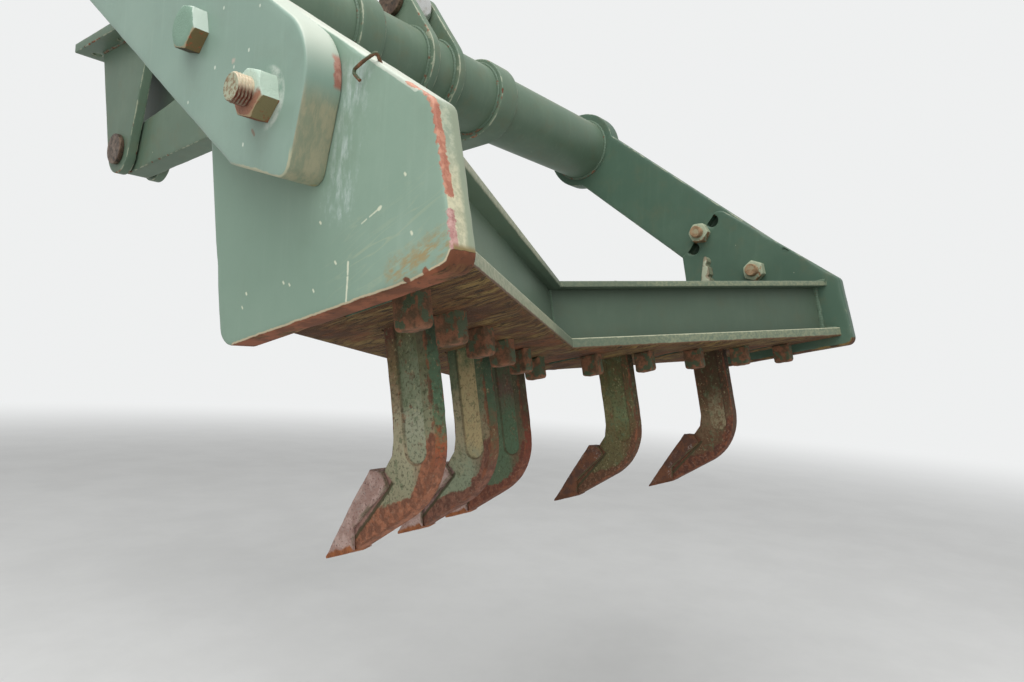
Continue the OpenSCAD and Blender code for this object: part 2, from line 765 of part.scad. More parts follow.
frame_saddle();
hinge_pin(1);  // hinge_pin_left
hinge_pin(-1);  // hinge_pin_right
cylinder_front_pin();
cross_tube();
draft_rail(1);  // draft_rail_left
draft_rail(-1);  // draft_rail_right
lift_lever();
lever_pin();
arm(1);  // arm_left
arm(-1);  // arm_right
end_plate(1);  // end_plate_left
end_plate(-1);  // end_plate_right
rear_bar(1);  // rear_bar_left
rear_bar(-1);  // rear_bar_right
front_bar(1);  // front_bar_left
front_bar(-1);  // front_bar_right
pocket_spacers();
pocket_lugs();
shank(0);  // shank_1
shank(1);  // shank_2
shank(2);  // shank_3
shank(3);  // shank_4
shank(4);  // shank_5
tip(0);  // tip_1
tip(1);  // tip_2
tip(2);  // tip_3
tip(3);  // tip_4
tip(4);  // tip_5
pivot_bolt(1);  // pivot_bolt_left
pivot_nut(1);  // pivot_nut_left
pivot_bolt(-1);  // pivot_bolt_right
pivot_nut(-1);  // pivot_nut_right
pitch_bolt(1);  // pitch_bolt_left
pitch_nut(1);  // pitch_nut_left
pitch_bolt(-1);  // pitch_bolt_right
pitch_nut(-1);  // pitch_nut_right
lift_cylinder();
lift_rod();
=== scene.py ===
# %% [markdown]
# # A V-type scarifier, raised for the road
# This tool loosens hard ground in front of a machine's own work, and here it is raised. Two arms
# and two end plates carry a V-shaped block with eleven pockets, and curved shanks with capped tips
# stand in some of them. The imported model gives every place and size, so this lesson starts by
# loading it. It could be dressed node by node with materials alone, but worn steel has rounded
# arrises, chipped edges and weld beads, and those need meshes of their own.

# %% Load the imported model
import itertools
import math
import bmesh
import bpy
import numpy as np
from mathutils import Matrix, Vector
from mathutils.geometry import convex_hull_2d, delaunay_2d_cdt


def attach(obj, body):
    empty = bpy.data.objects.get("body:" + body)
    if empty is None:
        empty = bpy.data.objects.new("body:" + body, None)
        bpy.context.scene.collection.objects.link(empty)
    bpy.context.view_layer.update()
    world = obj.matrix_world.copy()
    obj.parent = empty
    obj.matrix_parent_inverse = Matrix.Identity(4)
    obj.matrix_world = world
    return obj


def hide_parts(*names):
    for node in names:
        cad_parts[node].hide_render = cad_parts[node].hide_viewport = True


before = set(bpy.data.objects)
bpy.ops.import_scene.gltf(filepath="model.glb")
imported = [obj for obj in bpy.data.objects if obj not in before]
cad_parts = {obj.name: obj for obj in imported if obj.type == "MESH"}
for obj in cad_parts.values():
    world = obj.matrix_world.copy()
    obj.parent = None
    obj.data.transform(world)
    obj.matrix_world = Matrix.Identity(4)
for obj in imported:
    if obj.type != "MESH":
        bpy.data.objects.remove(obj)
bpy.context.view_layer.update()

# %% [markdown]
# The camera stands low on the machine's left side and looks across it. Its place could be found
# by trying, but a camera that is solved from the straight edges of the steel is exact, so it is
# kept as a place, two directions and a lens.

# %% Camera
PICTURE_W = 1024
SENSOR_W = 36.0
lens_in_pixels = 711.06
camera_at = Vector((1.089, 2.109, -0.8535))
camera_right = Vector((-0.6282, 0.7764, 0.0518)).normalized()
camera_up = Vector((0.0518, -0.0247, 0.9983)).normalized()

camera_back = camera_right.cross(camera_up).normalized()
camera_up = camera_back.cross(camera_right)
camera_data = bpy.data.cameras.new("camera")
camera_data.sensor_width = SENSOR_W
camera_data.lens = lens_in_pixels / PICTURE_W * SENSOR_W
camera_data.clip_start = 0.01
camera = bpy.data.objects.new("camera", camera_data)
bpy.context.scene.collection.objects.link(camera)
turned = Matrix((camera_right, camera_up, camera_back)).transposed().to_4x4()
turned.translation = camera_at
camera.matrix_world = turned
bpy.context.scene.camera = camera
print("lens:", round(camera_data.lens, 2), "mm")

# %% [markdown]
# The sizes that the lesson needs again are repeated here in metres, under the names that a
# draughtsman would use. Four frames place them: the machine's, the block's, the arm's and the
# tooth's. Each frame could be an empty with children, but a finished piece has to sit at the
# origin with its place in its mesh, so each frame is a function that turns and moves points.

# %% Sizes and frames
block_w, end_plate_t, vee_reach = 1.330, 0.032, 0.308
block_h, block_lift, bottom_t, top_t = 0.132, 0.022, 0.020, 0.012
rear_edge, rear_flange, front_flange, top_setback = 0.023, 0.118, 0.100, 0.010
rear_channel, front_channel = 0.037, 0.024
pocket_pitch, shank_t, shank_d, pocket_free = 0.116, 0.025, 0.076, 0.019
pivot_ahead, pivot_up, pitch_r, pitch_mid, arm_rise = 0.188, 0.216, 0.180, 47.5, 35.0
reach, drop, hinge_depth, arm_l, arm_t, tube_d = 1.470, 0.279, 0.330, 0.680, 0.043, 0.168
slot_w = shank_t + 2 * 0.0004

inner_x = block_w / 2 - end_plate_t
spacer_from = rear_edge + rear_flange
spacer_to = spacer_from + shank_d + pocket_free
front_edge = spacer_to + front_flange
block_top = block_lift + block_h
shank_ahead = spacer_from + pocket_free / 2
pockets_a_side = 5
block_pitch = math.radians(pitch_mid - arm_rise)
pivot_y, pivot_z = reach, -hinge_depth - drop
tube_at = np.array([pivot_y - arm_l * math.cos(math.radians(arm_rise)),
                    pivot_z + arm_l * math.sin(math.radians(arm_rise))])


def vee(x):
    """Distance of the V's line ahead of the plates' rear corner: it falls off evenly from the
    middle of the machine to the end plates."""
    return vee_reach * (1 - np.abs(x) / inner_x)


def in_machine(points):
    """Points are x to the machine's left, y rearward and z up from the saddle's upper face."""
    return points


def in_block(points):
    """From the block's frame to the machine's: points are moved to the pivot bolt, turned about
    it by the pitch, y' = y cos - z sin and z' = y sin + z cos, and moved to the bolt's place."""
    x, y, z = points.T
    y, z = y + pivot_ahead, z - pivot_up
    cos, sin = math.cos(block_pitch), math.sin(block_pitch)
    return np.stack([x, pivot_y + y * cos - z * sin, pivot_z + y * sin + z * cos], 1)


def in_arm(points):
    """From the arm's frame: along it from the pivot bolt, up and forward, and square to it."""
    x, along, square = points.T
    cos, sin = math.cos(math.radians(arm_rise)), math.sin(math.radians(arm_rise))
    return np.stack([x, pivot_y - along * cos + square * sin, pivot_z + along * sin + square * cos], 1)


def in_tooth(pocket):
    """From a tooth's frame: ahead of the shank's rear face and up from the block's underside."""
    middle = pocket * pocket_pitch

    def place(points):
        x, ahead, up = points.T
        return in_block(np.stack([x + middle, -vee(middle) - shank_ahead - ahead, up + block_lift], 1))
    return place


print("block pitched by", round(math.degrees(block_pitch), 1), "degrees, V swept by",
      round(math.degrees(math.atan(vee_reach / inner_x)), 1))

# %% [markdown]
# Rough steel is never quite even. A repeatable noise makes that: random numbers at the corners of
# a lattice, blended smoothly in between. Blender's own noise could be called for each point, but
# numpy works on all points at once.

# %% Noise
def lattice_value(corner):
    """A number from 0 to 1 for each lattice corner: the fraction of a large sine."""
    wave = np.sin(corner @ np.array([127.1, 311.7, 74.7])) * 43758.5453
    return wave - np.floor(wave)


def noise(points, size):
    """Value noise from 0 to 1: the eight corners around a point, each weighted by
    s = f * f * (3 - 2 f) or 1 - s along each axis, where f is the place inside the cell."""
    scaled = points / size
    cell = np.floor(scaled)
    inside = scaled - cell
    share = inside * inside * (3 - 2 * inside)
    total = np.zeros(len(points))
    for corner in itertools.product((0, 1), repeat=3):
        weight = np.where(np.array(corner) == 1, share, 1 - share).prod(1)
        total += weight * lattice_value(cell + np.array(corner))
    return total


def rough(points, size):
    """Three octaves of noise, each half as large and half as strong as the one before."""
    return (noise(points, size) * 4 + noise(points + 7.3, size / 2) * 2 + noise(points - 3.1, size / 4)) / 7


print("noise at three places:", noise(np.array([[0.0, 0, 0], [0.1, 0.2, 0.3], [1, 1, 1]]), 0.07).round(2))

# %% [markdown]
# Plates are cut from outlines. An outline is a few corners with radii, or the line of a string
# pulled tight round some circles. It could be a Blender curve, but as an array it can be offset,
# measured and filled in the same breath.

# %% Outlines
def arc(centre, r, start, end, step=6.0):
    """Points on a circle from one angle to another, in degrees."""
    angle = np.radians(np.linspace(start, end, int(abs(end - start) / step) + 2))
    return np.asarray(centre) + r * np.stack([np.cos(angle), np.sin(angle)], 1)


def rounded(corners, step=8.0):
    """A closed outline whose corners, given as x, y and radius, are rounded: the arc's centre
    lies on the corner's halving line, r / sin(half angle) away."""
    corners = np.asarray(corners, float)
    parts = []
    for before, at, after in zip(np.roll(corners, 1, 0), corners, np.roll(corners, -1, 0)):
        if at[2] == 0:
            parts.append(at[None, :2])
            continue
        a, b = before[:2] - at[:2], after[:2] - at[:2]
        a, b = a / np.linalg.norm(a), b / np.linalg.norm(b)
        half = math.acos(float(a @ b)) / 2
        middle = (a + b) / np.linalg.norm(a + b)
        centre = at[:2] + middle * at[2] / math.sin(half)
        first = at[:2] + a * at[2] / math.tan(half) - centre
        last = at[:2] + b * at[2] / math.tan(half) - centre
        start = math.degrees(math.atan2(first[1], first[0]))
        turn = math.degrees(math.atan2(first[0] * last[1] - first[1] * last[0], float(first @ last)))
        parts.append(arc(centre, at[2], start, start + turn, step))
    return np.concatenate(parts)


def pulled_tight(*parts):
    """The convex outline around circles and points."""
    points = np.concatenate(parts)
    return points[convex_hull_2d(points.tolist())]


def circle(centre, r, sides=48):
    """A circle as points."""
    angle = np.arange(sides) * 2 * np.pi / sides
    return np.asarray(centre) + r * np.stack([np.cos(angle), np.sin(angle)], 1)


def spaced(loop, step):
    """The same closed outline with points at most a step apart, its corners kept."""
    parts = []
    for a, b in zip(loop, np.roll(loop, -1, 0)):
        pieces = max(1, math.ceil(np.linalg.norm(b - a) / step))
        parts.append(a + (b - a) * (np.arange(pieces) / pieces)[:, None])
    loop = np.concatenate(parts)
    apart = np.linalg.norm(loop - np.roll(loop, 1, 0), axis=1) > 1e-6
    return loop[apart]


def turning(loop, way):
    """The outline turned to run left (1) or right (-1) round its middle."""
    after = np.roll(loop, -1, 0)
    area = (loop[:, 0] * after[:, 1] - loop[:, 1] * after[:, 0]).sum()
    return loop if area * way > 0 else loop[::-1]


def into_the_steel(loop):
    """Unit steps to the left of an outline, which is where the steel lies."""
    along = np.roll(loop, -1, 0) - np.roll(loop, 1, 0)
    along /= np.linalg.norm(along, axis=1)[:, None]
    return np.stack([-along[:, 1], along[:, 0]], 1)


def inside(points, loops):
    """Whether points lie in the steel: a ray to the right crosses the loops an odd number of
    times."""
    odd = np.zeros(len(points), bool)
    for loop in loops:
        a, b = loop, np.roll(loop, -1, 0)
        y = points[:, 1:2]
        spans = (a[:, 1] > y) != (b[:, 1] > y)
        rise = np.where(a[:, 1] == b[:, 1], 1.0, b[:, 1] - a[:, 1])
        cross_at = a[:, 0] + (y - a[:, 1]) * (b[:, 0] - a[:, 0]) / rise
        odd ^= (spans & (points[:, :1] < cross_at)).sum(1) % 2 == 1
    return odd


def distance_to(points, line, closed=True):
    """Shortest distance from points to an outline: to each stretch, at its nearest place."""
    a, b = (line, np.roll(line, -1, 0)) if closed else (line[:-1], line[1:])
    run = b - a
    length = np.maximum((run * run).sum(1), 1e-12)
    best = np.full(len(points), 1e9)
    for part in np.array_split(np.arange(len(a)), max(1, len(a) // 60)):
        away = points[:, None] - a[part]
        share = np.clip((away * run[part]).sum(2) / length[part], 0, 1)
        gap = np.linalg.norm(away - share[..., None] * run[part], axis=2).min(1)
        best = np.minimum(best, gap)
    return best


square = rounded([[0, 0, 0.02], [0.1, 0, 0.02], [0.1, 0.1, 0.02], [0, 0.1, 0.02]])
print("a rounded square has", len(spaced(square, 0.01)), "points")

# %% [markdown]
# Between its outline and its holes a plate's face is filled with a net of even triangles, so that
# dents and marks have points to live on. Blender's grid fill could do it, but a constrained
# triangulation takes any outline and any number of holes.

# %% Surfaces and fills
class Surface:
    """Points, faces as arrays of corners, and marks: a number for each point that materials
    read."""

    def __init__(self, points, faces, **marks):
        self.points, self.faces, self.marks = points, faces, marks


def joined(surfaces):
    """Several surfaces as one: their corners count on from those before. A mark that one of them
    lacks is 1 there, far from any edge."""
    points, faces, start = [], [], 0
    for part in surfaces:
        points.append(part.points)
        faces += [np.asarray(f) + start for f in part.faces]
        start += len(part.points)
    names = sorted({name for part in surfaces for name in part.marks})
    marks = {n: np.concatenate([p.marks.get(n, np.ones(len(p.points))) for p in surfaces]) for n in names}
    return Surface(np.concatenate(points), faces, **marks)


def grid_faces(rows, columns, wrap=False):
    """Corners of the four-sided faces of a grid, closed round its columns where wrap is true."""
    last = columns if wrap else columns - 1
    i, j = np.meshgrid(np.arange(rows - 1), np.arange(last), indexing="ij")
    after = (j + 1) % columns
    return np.stack([i * columns + j, i * columns + after, (i + 1) * columns + after,
                     (i + 1) * columns + j], -1).reshape(-1, 4)


def filled(loops, spacing, creases=()):
    """Flat points and triangles between loops: a staggered net inside, whose points keep half
    a spacing away from every loop and crease, joined by a Delaunay triangulation."""
    lines = [*loops, *creases]
    edges, start = [], 0
    for line in lines:
        index = np.arange(len(line)) + start
        edges.append(np.stack([index, np.roll(index, -1)], 1))
        start += len(line)
    rim = np.concatenate(lines)
    low, high = rim.min(0), rim.max(0)
    x, y = np.meshgrid(np.arange(low[0], high[0], spacing), np.arange(low[1], high[1], spacing * 0.87))
    x[1::2] += spacing / 2
    net = np.stack([x.ravel(), y.ravel()], 1)
    net = net[inside(net, loops)]
    clear = np.ones(len(net), bool)
    for line in lines:
        clear &= distance_to(net, line) > spacing * 0.5
    points = np.concatenate([rim, net[clear]])
    flat, _, faces, _, _, _ = delaunay_2d_cdt(points.tolist(), np.concatenate(edges).tolist(), [], 0, 1e-9)
    flat, faces = np.array(flat), np.array(faces)
    return flat, faces[inside(flat[faces].mean(1), loops)]


flat, faces = filled([square], 0.01)
print("the same square fills with", len(faces), "triangles")

# %% [markdown]
# A flame-cut plate is the form that this tool is mostly made of. Its arrises are rounded by wear,
# more in some places than in others. A Bevel modifier rounds them evenly; here each outline is
# carried round the arris with its own radius at each point, which the noise varies.

# %% Plates
ARRIS_STEPS = 4
HAIR = 0.00003
WALL_STEP = 0.008


def plate(outline, x_from, x_to, place, holes=(), r=0.002, wear=0.6, step=0.008, creases=(),
          shape=None, lines=()):
    """A thick plate. At the angle t of the rounding a point lies r (1 - sin t) inside the outline
    and r (1 - cos t) in from the face; r grows with the noise where the arris is worn. All of it
    lies a hair inside the outline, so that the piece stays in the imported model's box. shape may
    move the points before place puts them, and lines gives named marks, the distance to a line."""
    loops = [spaced(turning(outline, 1), step)] + [spaced(turning(h, -1), step) for h in holes]
    thick = x_to - x_from
    turn = np.linspace(0, np.pi / 2, ARRIS_STEPS)
    points, faces, rims, start = [], [], [], 0
    for loop in loops:
        left = into_the_steel(loop)
        spots = np.column_stack([np.full(len(loop), x_from + x_to), loop])
        worn = r * (1 + wear * (3 * np.clip(rough(spots, 0.05) - 0.45, 0, 1)))[:, None]
        insets = [worn * (1 - np.sin(t)) for t in turn]
        depths = [worn * (1 - np.cos(t)) for t in turn]
        wall = np.linspace(0, 1, max(1, round((thick - 2 * r) / WALL_STEP)) + 1)[1:-1]
        insets += [0 * worn] * len(wall) + insets[::-1]
        depths += [worn + (thick - 2 * worn) * w for w in wall] + [thick - d for d in depths[::-1]]
        ring = np.stack([loop + left * (inset + HAIR) for inset in insets])
        depth = np.stack([np.broadcast_to(d, (len(loop), 1)) for d in depths])
        points.append(np.concatenate([x_from + depth, ring], -1).reshape(-1, 3))
        faces.append(grid_faces(len(ring), len(loop), wrap=True) + start)
        rims.append(ring[0])
        start += ring.shape[0] * ring.shape[1]
    flat, inner = filled(rims, step, creases)
    for x in (x_from, x_to):
        points.append(np.column_stack([np.full(len(flat), x), flat]))
        faces.append(inner + start)
        start += len(flat)
    points = np.concatenate(points)
    in_plane = np.min([distance_to(points[:, 1:], loop) for loop in loops], axis=0)
    in_depth = np.minimum(points[:, 0] - x_from, x_to - points[:, 0])
    marks = {"edge": np.maximum(in_plane, in_depth)}
    for name, line in dict(lines).items():
        marks[name] = distance_to(points[:, 1:], np.asarray(line, float), closed=False)
    if shape:
        points = shape(points)
    return Surface(place(points), faces, **marks)


# %% [markdown]
# Pins, tubes and the cylinder are turned parts, and a bolt's head is nearly one. All of them are a
# profile of radius and place along an axis. Spin would do it too, but it joins its ends only by
# chance, while a grid that wraps is closed by its own numbering.

# %% Turned parts
def across(at):
    """Places along, up and sideways of an axis that runs across the machine at [rearward, up]."""
    def place(points):
        along, a, b = points.T
        return np.stack([along, at[0] + a, at[1] + b], 1)
    return place


def revolved(profile, place, sides=48, cut=None, closed=False):
    """A profile of [place along, radius] turned round its axis: (along, r cos, r sin). cut may
    limit the radius by the angle, and a closed profile makes a ring. The edge mark is the
    distance along the profile to its nearest sharp corner."""
    profile = np.asarray(profile, float)
    angle = np.arange(sides) * 2 * np.pi / sides
    r = np.broadcast_to(profile[:, 1:], (len(profile), sides))
    if cut is not None:
        r = np.minimum(r, cut(angle))
    along = np.broadcast_to(profile[:, :1], r.shape)
    points = np.stack([along, r * np.cos(angle), r * np.sin(angle)], -1)
    rows = len(profile)
    faces = [grid_faces(rows, sides, wrap=True)]
    if closed:
        j = np.arange(sides)
        after = (j + 1) % sides
        last = (rows - 1) * sides
        faces.append(np.stack([last + j, last + after, after, j], 1))
    steps = np.diff(profile, axis=0)
    heading = np.arctan2(steps[:, 1], steps[:, 0])
    bend = np.abs((np.diff(heading) + np.pi) % (2 * np.pi) - np.pi)
    sharp = np.concatenate([[False], bend > 0.35, [False]])
    corners = profile[sharp] if sharp.any() else profile[:1]
    near = np.linalg.norm(profile[:, None] - corners, axis=2).min(1)
    return Surface(place(points.reshape(-1, 3)), faces, edge=np.repeat(near, sides))


def stepped(corners, r=0.0015, step=0.01):
    """A turned part's profile through corners, each rounded by a short arc, with points at most a
    step apart."""
    corners = [np.asarray(c, float) for c in corners]
    line = [corners[0][None]]
    for before, at, after in zip(corners, corners[1:], corners[2:]):
        a, b = before - at, after - at
        back = min(r, np.linalg.norm(a) / 3, np.linalg.norm(b) / 3)
        a, b = at + a / np.linalg.norm(a) * back, at + b / np.linalg.norm(b) * back
        share = np.linspace(0, 1, 4)[:, None]
        line.append(a * (1 - share) ** 2 + 2 * at * share * (1 - share) + b * share ** 2)
    line = np.concatenate([*line, corners[-1][None]])
    parts = []
    for a, b in zip(line, line[1:]):
        pieces = max(1, math.ceil(np.linalg.norm(b - a) / step))
        parts.append(a + (b - a) * (np.arange(pieces) / pieces)[:, None])
    return np.concatenate([*parts, line[-1:]])


def hexagon(flats, vertex_at):
    """Radius of a hexagon at an angle: half its flats over the cosine of the angle from the
    nearest flat's middle. vertex_at is the angle of one vertex, in degrees."""
    def cut(angle):
        sixth = (angle - math.radians(vertex_at)) % (np.pi / 3) - np.pi / 6
        return flats / 2 / np.cos(sixth)
    return cut


def hex_solid(flats, vertex_at, x_out, x_in, place):
    """A bolt's head or a nut: the hexagon, limited by a chamfer cone that starts 0.95 of the flats
    wide on the outer face and opens by 1.7 for each metre of depth."""
    way = 1 if x_in > x_out else -1
    depth = np.concatenate([np.linspace(0, 0.006, 7), np.linspace(0.006, abs(x_in - x_out), 6)[1:]])
    cone = np.minimum(flats * 0.475 + 1.7 * depth, flats)
    rows = [[x_out, 0.0], [x_out, flats * 0.3]]
    rows += [[x_out + way * d, c] for d, c in zip(depth, cone)] + [[x_in, 0.0]]
    solid = revolved(rows, place, 72, hexagon(flats, vertex_at))
    from_end = np.abs(solid.points[:, 0] - x_out)
    solid.marks["edge"] = np.abs(from_end - 0.002) + 0.001
    return solid


def threaded(d, pitch, x_from, x_to, place):
    """A bolt's end: radius d / 2 less the depth of a ridge that climbs one pitch a turn,
    depth * |2 (x / pitch - turn) - 1|, with a chamfer at the free end x_to."""
    depth = pitch * 0.5
    sides = 48
    length = abs(x_to - x_from)
    along = np.linspace(0, length, math.ceil(length / pitch * 8) + 1)
    angle = np.arange(sides) * 2 * np.pi / sides
    phase = (along[:, None] / pitch - angle / (2 * np.pi)) % 1
    r = d / 2 - depth * np.abs(2 * phase - 1)
    r = np.minimum(r, d / 2 - depth + (length - along)[:, None])
    x = np.broadcast_to((x_from + along * np.sign(x_to - x_from))[:, None], r.shape)
    points = np.stack([x, r * np.cos(angle), r * np.sin(angle)], -1)
    ends = [np.broadcast_to([end, 0.0, 0.0], (1, sides, 3)) for end in (x_from, x_to)]
    points = np.concatenate([ends[0], points, ends[1]]).reshape(-1, 3)
    worn = np.repeat(np.concatenate([[0.02], np.maximum(length - along, 0.0), [0.01]]), sides)
    return Surface(place(points), [grid_faces(len(along) + 2, sides, wrap=True)], edge=worn)


# %% [markdown]
# A weld bead is a row of small overlapping puddles. It could be bump in a material, but a bead
# stands proud and its ripples catch the light, so it is a thin tube along the seam whose radius
# swells once for each puddle. The same tube makes the bent rod on the near plate.

# %% Beads and rods
BEAD_SIDES = 8


def tube(path, radius, sides=BEAD_SIDES):
    """A round tube along points: at each one a circle square to the path, spanned by two unit
    steps that are square to its heading, closed at both ends by a radius of nothing."""
    path = np.asarray(path, float)
    heading = np.gradient(path, axis=0)
    heading /= np.linalg.norm(heading, axis=1)[:, None]
    guide = np.array([0.31, 0.52, 0.79])
    first = np.cross(heading, guide)
    first /= np.linalg.norm(first, axis=1)[:, None]
    second = np.cross(heading, first)
    angle = (np.arange(sides) * 2 * np.pi / sides)[None, :, None]
    r = np.broadcast_to(np.asarray(radius, float), (len(path),))[:, None, None]
    rings = path[:, None] + r * (np.cos(angle) * first[:, None] + np.sin(angle) * second[:, None])
    ends = [np.broadcast_to(p, (1, sides, 3)) for p in (path[0], path[-1])]
    points = np.concatenate([ends[0], rings, ends[1]]).reshape(-1, 3)
    return Surface(points, [grid_faces(len(rings) + 2, sides, wrap=True)], edge=np.full(len(points), 0.004))


def bead(start, end, r=0.0045, puddle=0.006):
    """A weld along a straight seam: the radius is r (0.86 + 0.14 |cos|) with one swell for each
    puddle, and the path wanders a little."""
    start, end = np.asarray(start, float), np.asarray(end, float)
    length = np.linalg.norm(end - start)
    share = np.linspace(0, 1, math.ceil(length / puddle * 5) + 1)
    path = start + (end - start) * share[:, None]
    wander = np.stack([noise(path + k, 0.012) - 0.5 for k in (0.0, 5.0, 9.0)], 1) * r * 0.5
    swell = 0.86 + 0.14 * np.abs(np.cos(np.pi * share * length / puddle))
    size = r * swell * (0.85 + 0.4 * noise(path + 3.0, 0.02))
    return tube(path + wander, size)


def ring_bead(at, radius, x, r=0.005, puddle=0.007):
    """A weld round a tube that runs across the machine, closed on itself."""
    turns = np.linspace(0, 2 * np.pi, math.ceil(2 * np.pi * radius / puddle * 4) + 1)
    path = np.stack([np.full(len(turns), x), at[0] + radius * np.cos(turns),
                     at[1] + radius * np.sin(turns)], 1)
    swell = 0.86 + 0.14 * np.abs(np.cos(np.pi * turns * radius / puddle))
    return tube(path, r * swell)


print("one weld bead of 100 mm:", len(bead([0, 0, 0], [0.1, 0, 0]).points), "points")

# %% [markdown]
# A surface becomes a piece when it is put into a mesh, its doubled points are merged, and its
# faces are turned outwards. Then it rides on its body, takes the place of its plain node and names
# its finish. Doing this in one function keeps all pieces alike.

# %% From surface to piece
MERGE = 0.00002
SMOOTH_BELOW = 38
made = {}


def dented(surface, depth, size):
    """Points moved inwards, along their own normals, by depth times the noise: wear only takes
    steel away."""
    mesh = to_mesh("dented", surface)
    count = len(mesh.vertices)
    points, normals = np.empty(count * 3, np.float32), np.empty(count * 3, np.float32)
    mesh.vertices.foreach_get("co", points)
    mesh.vertices.foreach_get("normal", normals)
    points, normals = points.reshape(-1, 3).astype(float), normals.reshape(-1, 3)
    points -= normals * (depth * rough(points, size))[:, None]
    mesh.vertices.foreach_set("co", points.astype(np.float32).ravel())
    mesh.update()
    return mesh


def to_mesh(name, surface):
    """numpy points and faces put into a mesh, merged and turned outwards."""
    mesh = bpy.data.meshes.new(name)
    corners = np.concatenate([f.ravel() for f in surface.faces]).astype(np.int32)
    sizes = np.concatenate([np.full(len(f), f.shape[1]) for f in surface.faces])
    mesh.vertices.add(len(surface.points))
    mesh.vertices.foreach_set("co", surface.points.astype(np.float32).ravel())
    mesh.loops.add(len(corners))
    mesh.loops.foreach_set("vertex_index", corners)
    mesh.polygons.add(len(sizes))
    mesh.polygons.foreach_set("loop_start", np.concatenate([[0], np.cumsum(sizes)[:-1]]).astype(np.int32))
    mesh.update(calc_edges=True)
    for mark, values in surface.marks.items():
        mesh.attributes.new(mark, "FLOAT", "POINT").data.foreach_set("value", values.astype(np.float32))
    work = bmesh.new()
    work.from_mesh(mesh)
    bmesh.ops.remove_doubles(work, verts=work.verts, dist=MERGE)
    bmesh.ops.dissolve_degenerate(work, edges=work.edges, dist=MERGE / 4)
    bmesh.ops.recalc_face_normals(work, faces=work.faces)
    work.to_mesh(mesh)
    work.free()
    mesh.polygons.foreach_set("use_smooth", np.ones(len(mesh.polygons), bool))
    mesh.set_sharp_from_angle(angle=math.radians(SMOOTH_BELOW))
    return mesh


def piece(name, surface, material, nodes=(), body="yoke", dent=0.0, dent_size=0.02):
    """An object from a surface, which rides on a body and stands for its nodes."""
    mesh = dented(surface, dent, dent_size) if dent else to_mesh(name, surface)
    mesh.name = name
    mesh.materials.append(material)
    thing = bpy.data.objects.new(name, mesh)
    bpy.context.scene.collection.objects.link(thing)
    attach(thing, body)
    if nodes:
        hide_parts(*nodes)
    made[name] = sum(len(f.vertices) - 2 for f in mesh.polygons)


# %% [markdown]
# ## Finishes
# Node trees are long when each node is typed out, so a small helper adds a node, links what is a
# socket and sets what is a number. Effects that several finishes share are node groups with named
# sockets, and the Principled shader stays in each material.

# %% A short way to write node trees
def srgb(*levels):
    """A colour as it looks on a screen, from 0 to 255, as the linear colour that nodes take."""
    level = np.array(levels) / 255
    linear = np.where(level <= 0.04045, level / 12.92, ((level + 0.055) / 1.055) ** 2.4)
    return (*linear.tolist(), 1.0)


class Tree:
    """Adds nodes to a node tree: an input that is given a socket is linked to it, and any other
    value is set on it."""

    def __init__(self, tree):
        self.tree = tree

    def add(self, kind, inputs=(), **settings):
        node = self.tree.nodes.new(kind)
        for name, value in settings.items():
            setattr(node, name, value)
        for key, value in dict(inputs).items():
            if isinstance(value, bpy.types.NodeSocket):
                self.tree.links.new(value, node.inputs[key])
            else:
                node.inputs[key].default_value = value
        return node

    def math(self, operation, *values):
        return self.add("ShaderNodeMath", enumerate(values), operation=operation).outputs[0]

    def times(self, a, b):
        return self.math("MULTIPLY", a, b)

    def plus(self, a, b):
        return self.math("ADD", a, b)

    def less(self, a, b):
        return self.math("SUBTRACT", a, b)

    def larger(self, a, b):
        return self.math("MAXIMUM", a, b)

    def vector(self, operation, *values):
        return self.add("ShaderNodeVectorMath", enumerate(values), operation=operation)

    def noise(self, place, size, detail=3.0, rough=0.55):
        scale = self.math("DIVIDE", 1.0, size)
        inputs = {"Vector": place, "Scale": scale, "Detail": detail, "Roughness": rough}
        return self.add("ShaderNodeTexNoise", inputs).outputs[0]

    def between(self, value, low, high):
        """A smooth step from 0 at low to 1 at high."""
        inputs = {0: value, 1: low, 2: high}
        return self.add("ShaderNodeMapRange", inputs, interpolation_type="SMOOTHSTEP").outputs[0]

    def mix(self, share, a, b):
        """Colour a where the share is 0 and b where it is 1."""
        return self.add("ShaderNodeMix", {0: share, 6: a, 7: b}, data_type="RGBA").outputs[2]

    def ramp(self, value, stops):
        """A colour that follows a value through stops of place and colour."""
        node = self.add("ShaderNodeValToRGB", {0: value})
        elements = node.color_ramp.elements
        elements[0].position, elements[0].color = stops[0]
        elements[1].position, elements[1].color = stops[-1]
        for place, color in stops[1:-1]:
            elements.new(place).color = color
        return node.outputs[0]

    def stretched(self, place, *scales):
        return self.vector("MULTIPLY", place, scales).outputs[0]

    def group(self, name, **inputs):
        node = self.add("ShaderNodeGroup", node_tree=bpy.data.node_groups[name])
        for key, value in inputs.items():
            if isinstance(value, bpy.types.NodeSocket):
                self.tree.links.new(value, node.inputs[key])
            else:
                node.inputs[key].default_value = value
        return node.outputs


def new_group(name, inputs, outputs):
    """An empty node group with named sockets: kinds are Float, Vector and Color."""
    tree = bpy.data.node_groups.new(name, "ShaderNodeTree")
    for label, (kind, value) in inputs.items():
        socket = tree.interface.new_socket(label, in_out="INPUT", socket_type="NodeSocket" + kind)
        if value is not None:
            socket.default_value = value
    for label, kind in outputs.items():
        tree.interface.new_socket(label, in_out="OUTPUT", socket_type="NodeSocket" + kind)
    t = Tree(tree)
    inner = t.add("NodeGroupInput").outputs
    final = t.add("NodeGroupOutput").inputs

    def put(**values):
        for label, value in values.items():
            tree.links.new(value, final[label])
    return t, inner, put


# %% [markdown]
# Paint, rust, worn edges, chips, scratches, dust and soil are the effects of this machine. Edge
# wear could come from a Bevel node, which looks at the shape around each point. The meshes here
# know how far each point is from an arris, so the group reads that distance and breaks it up with
# noise: it is cheaper and it never flickers.

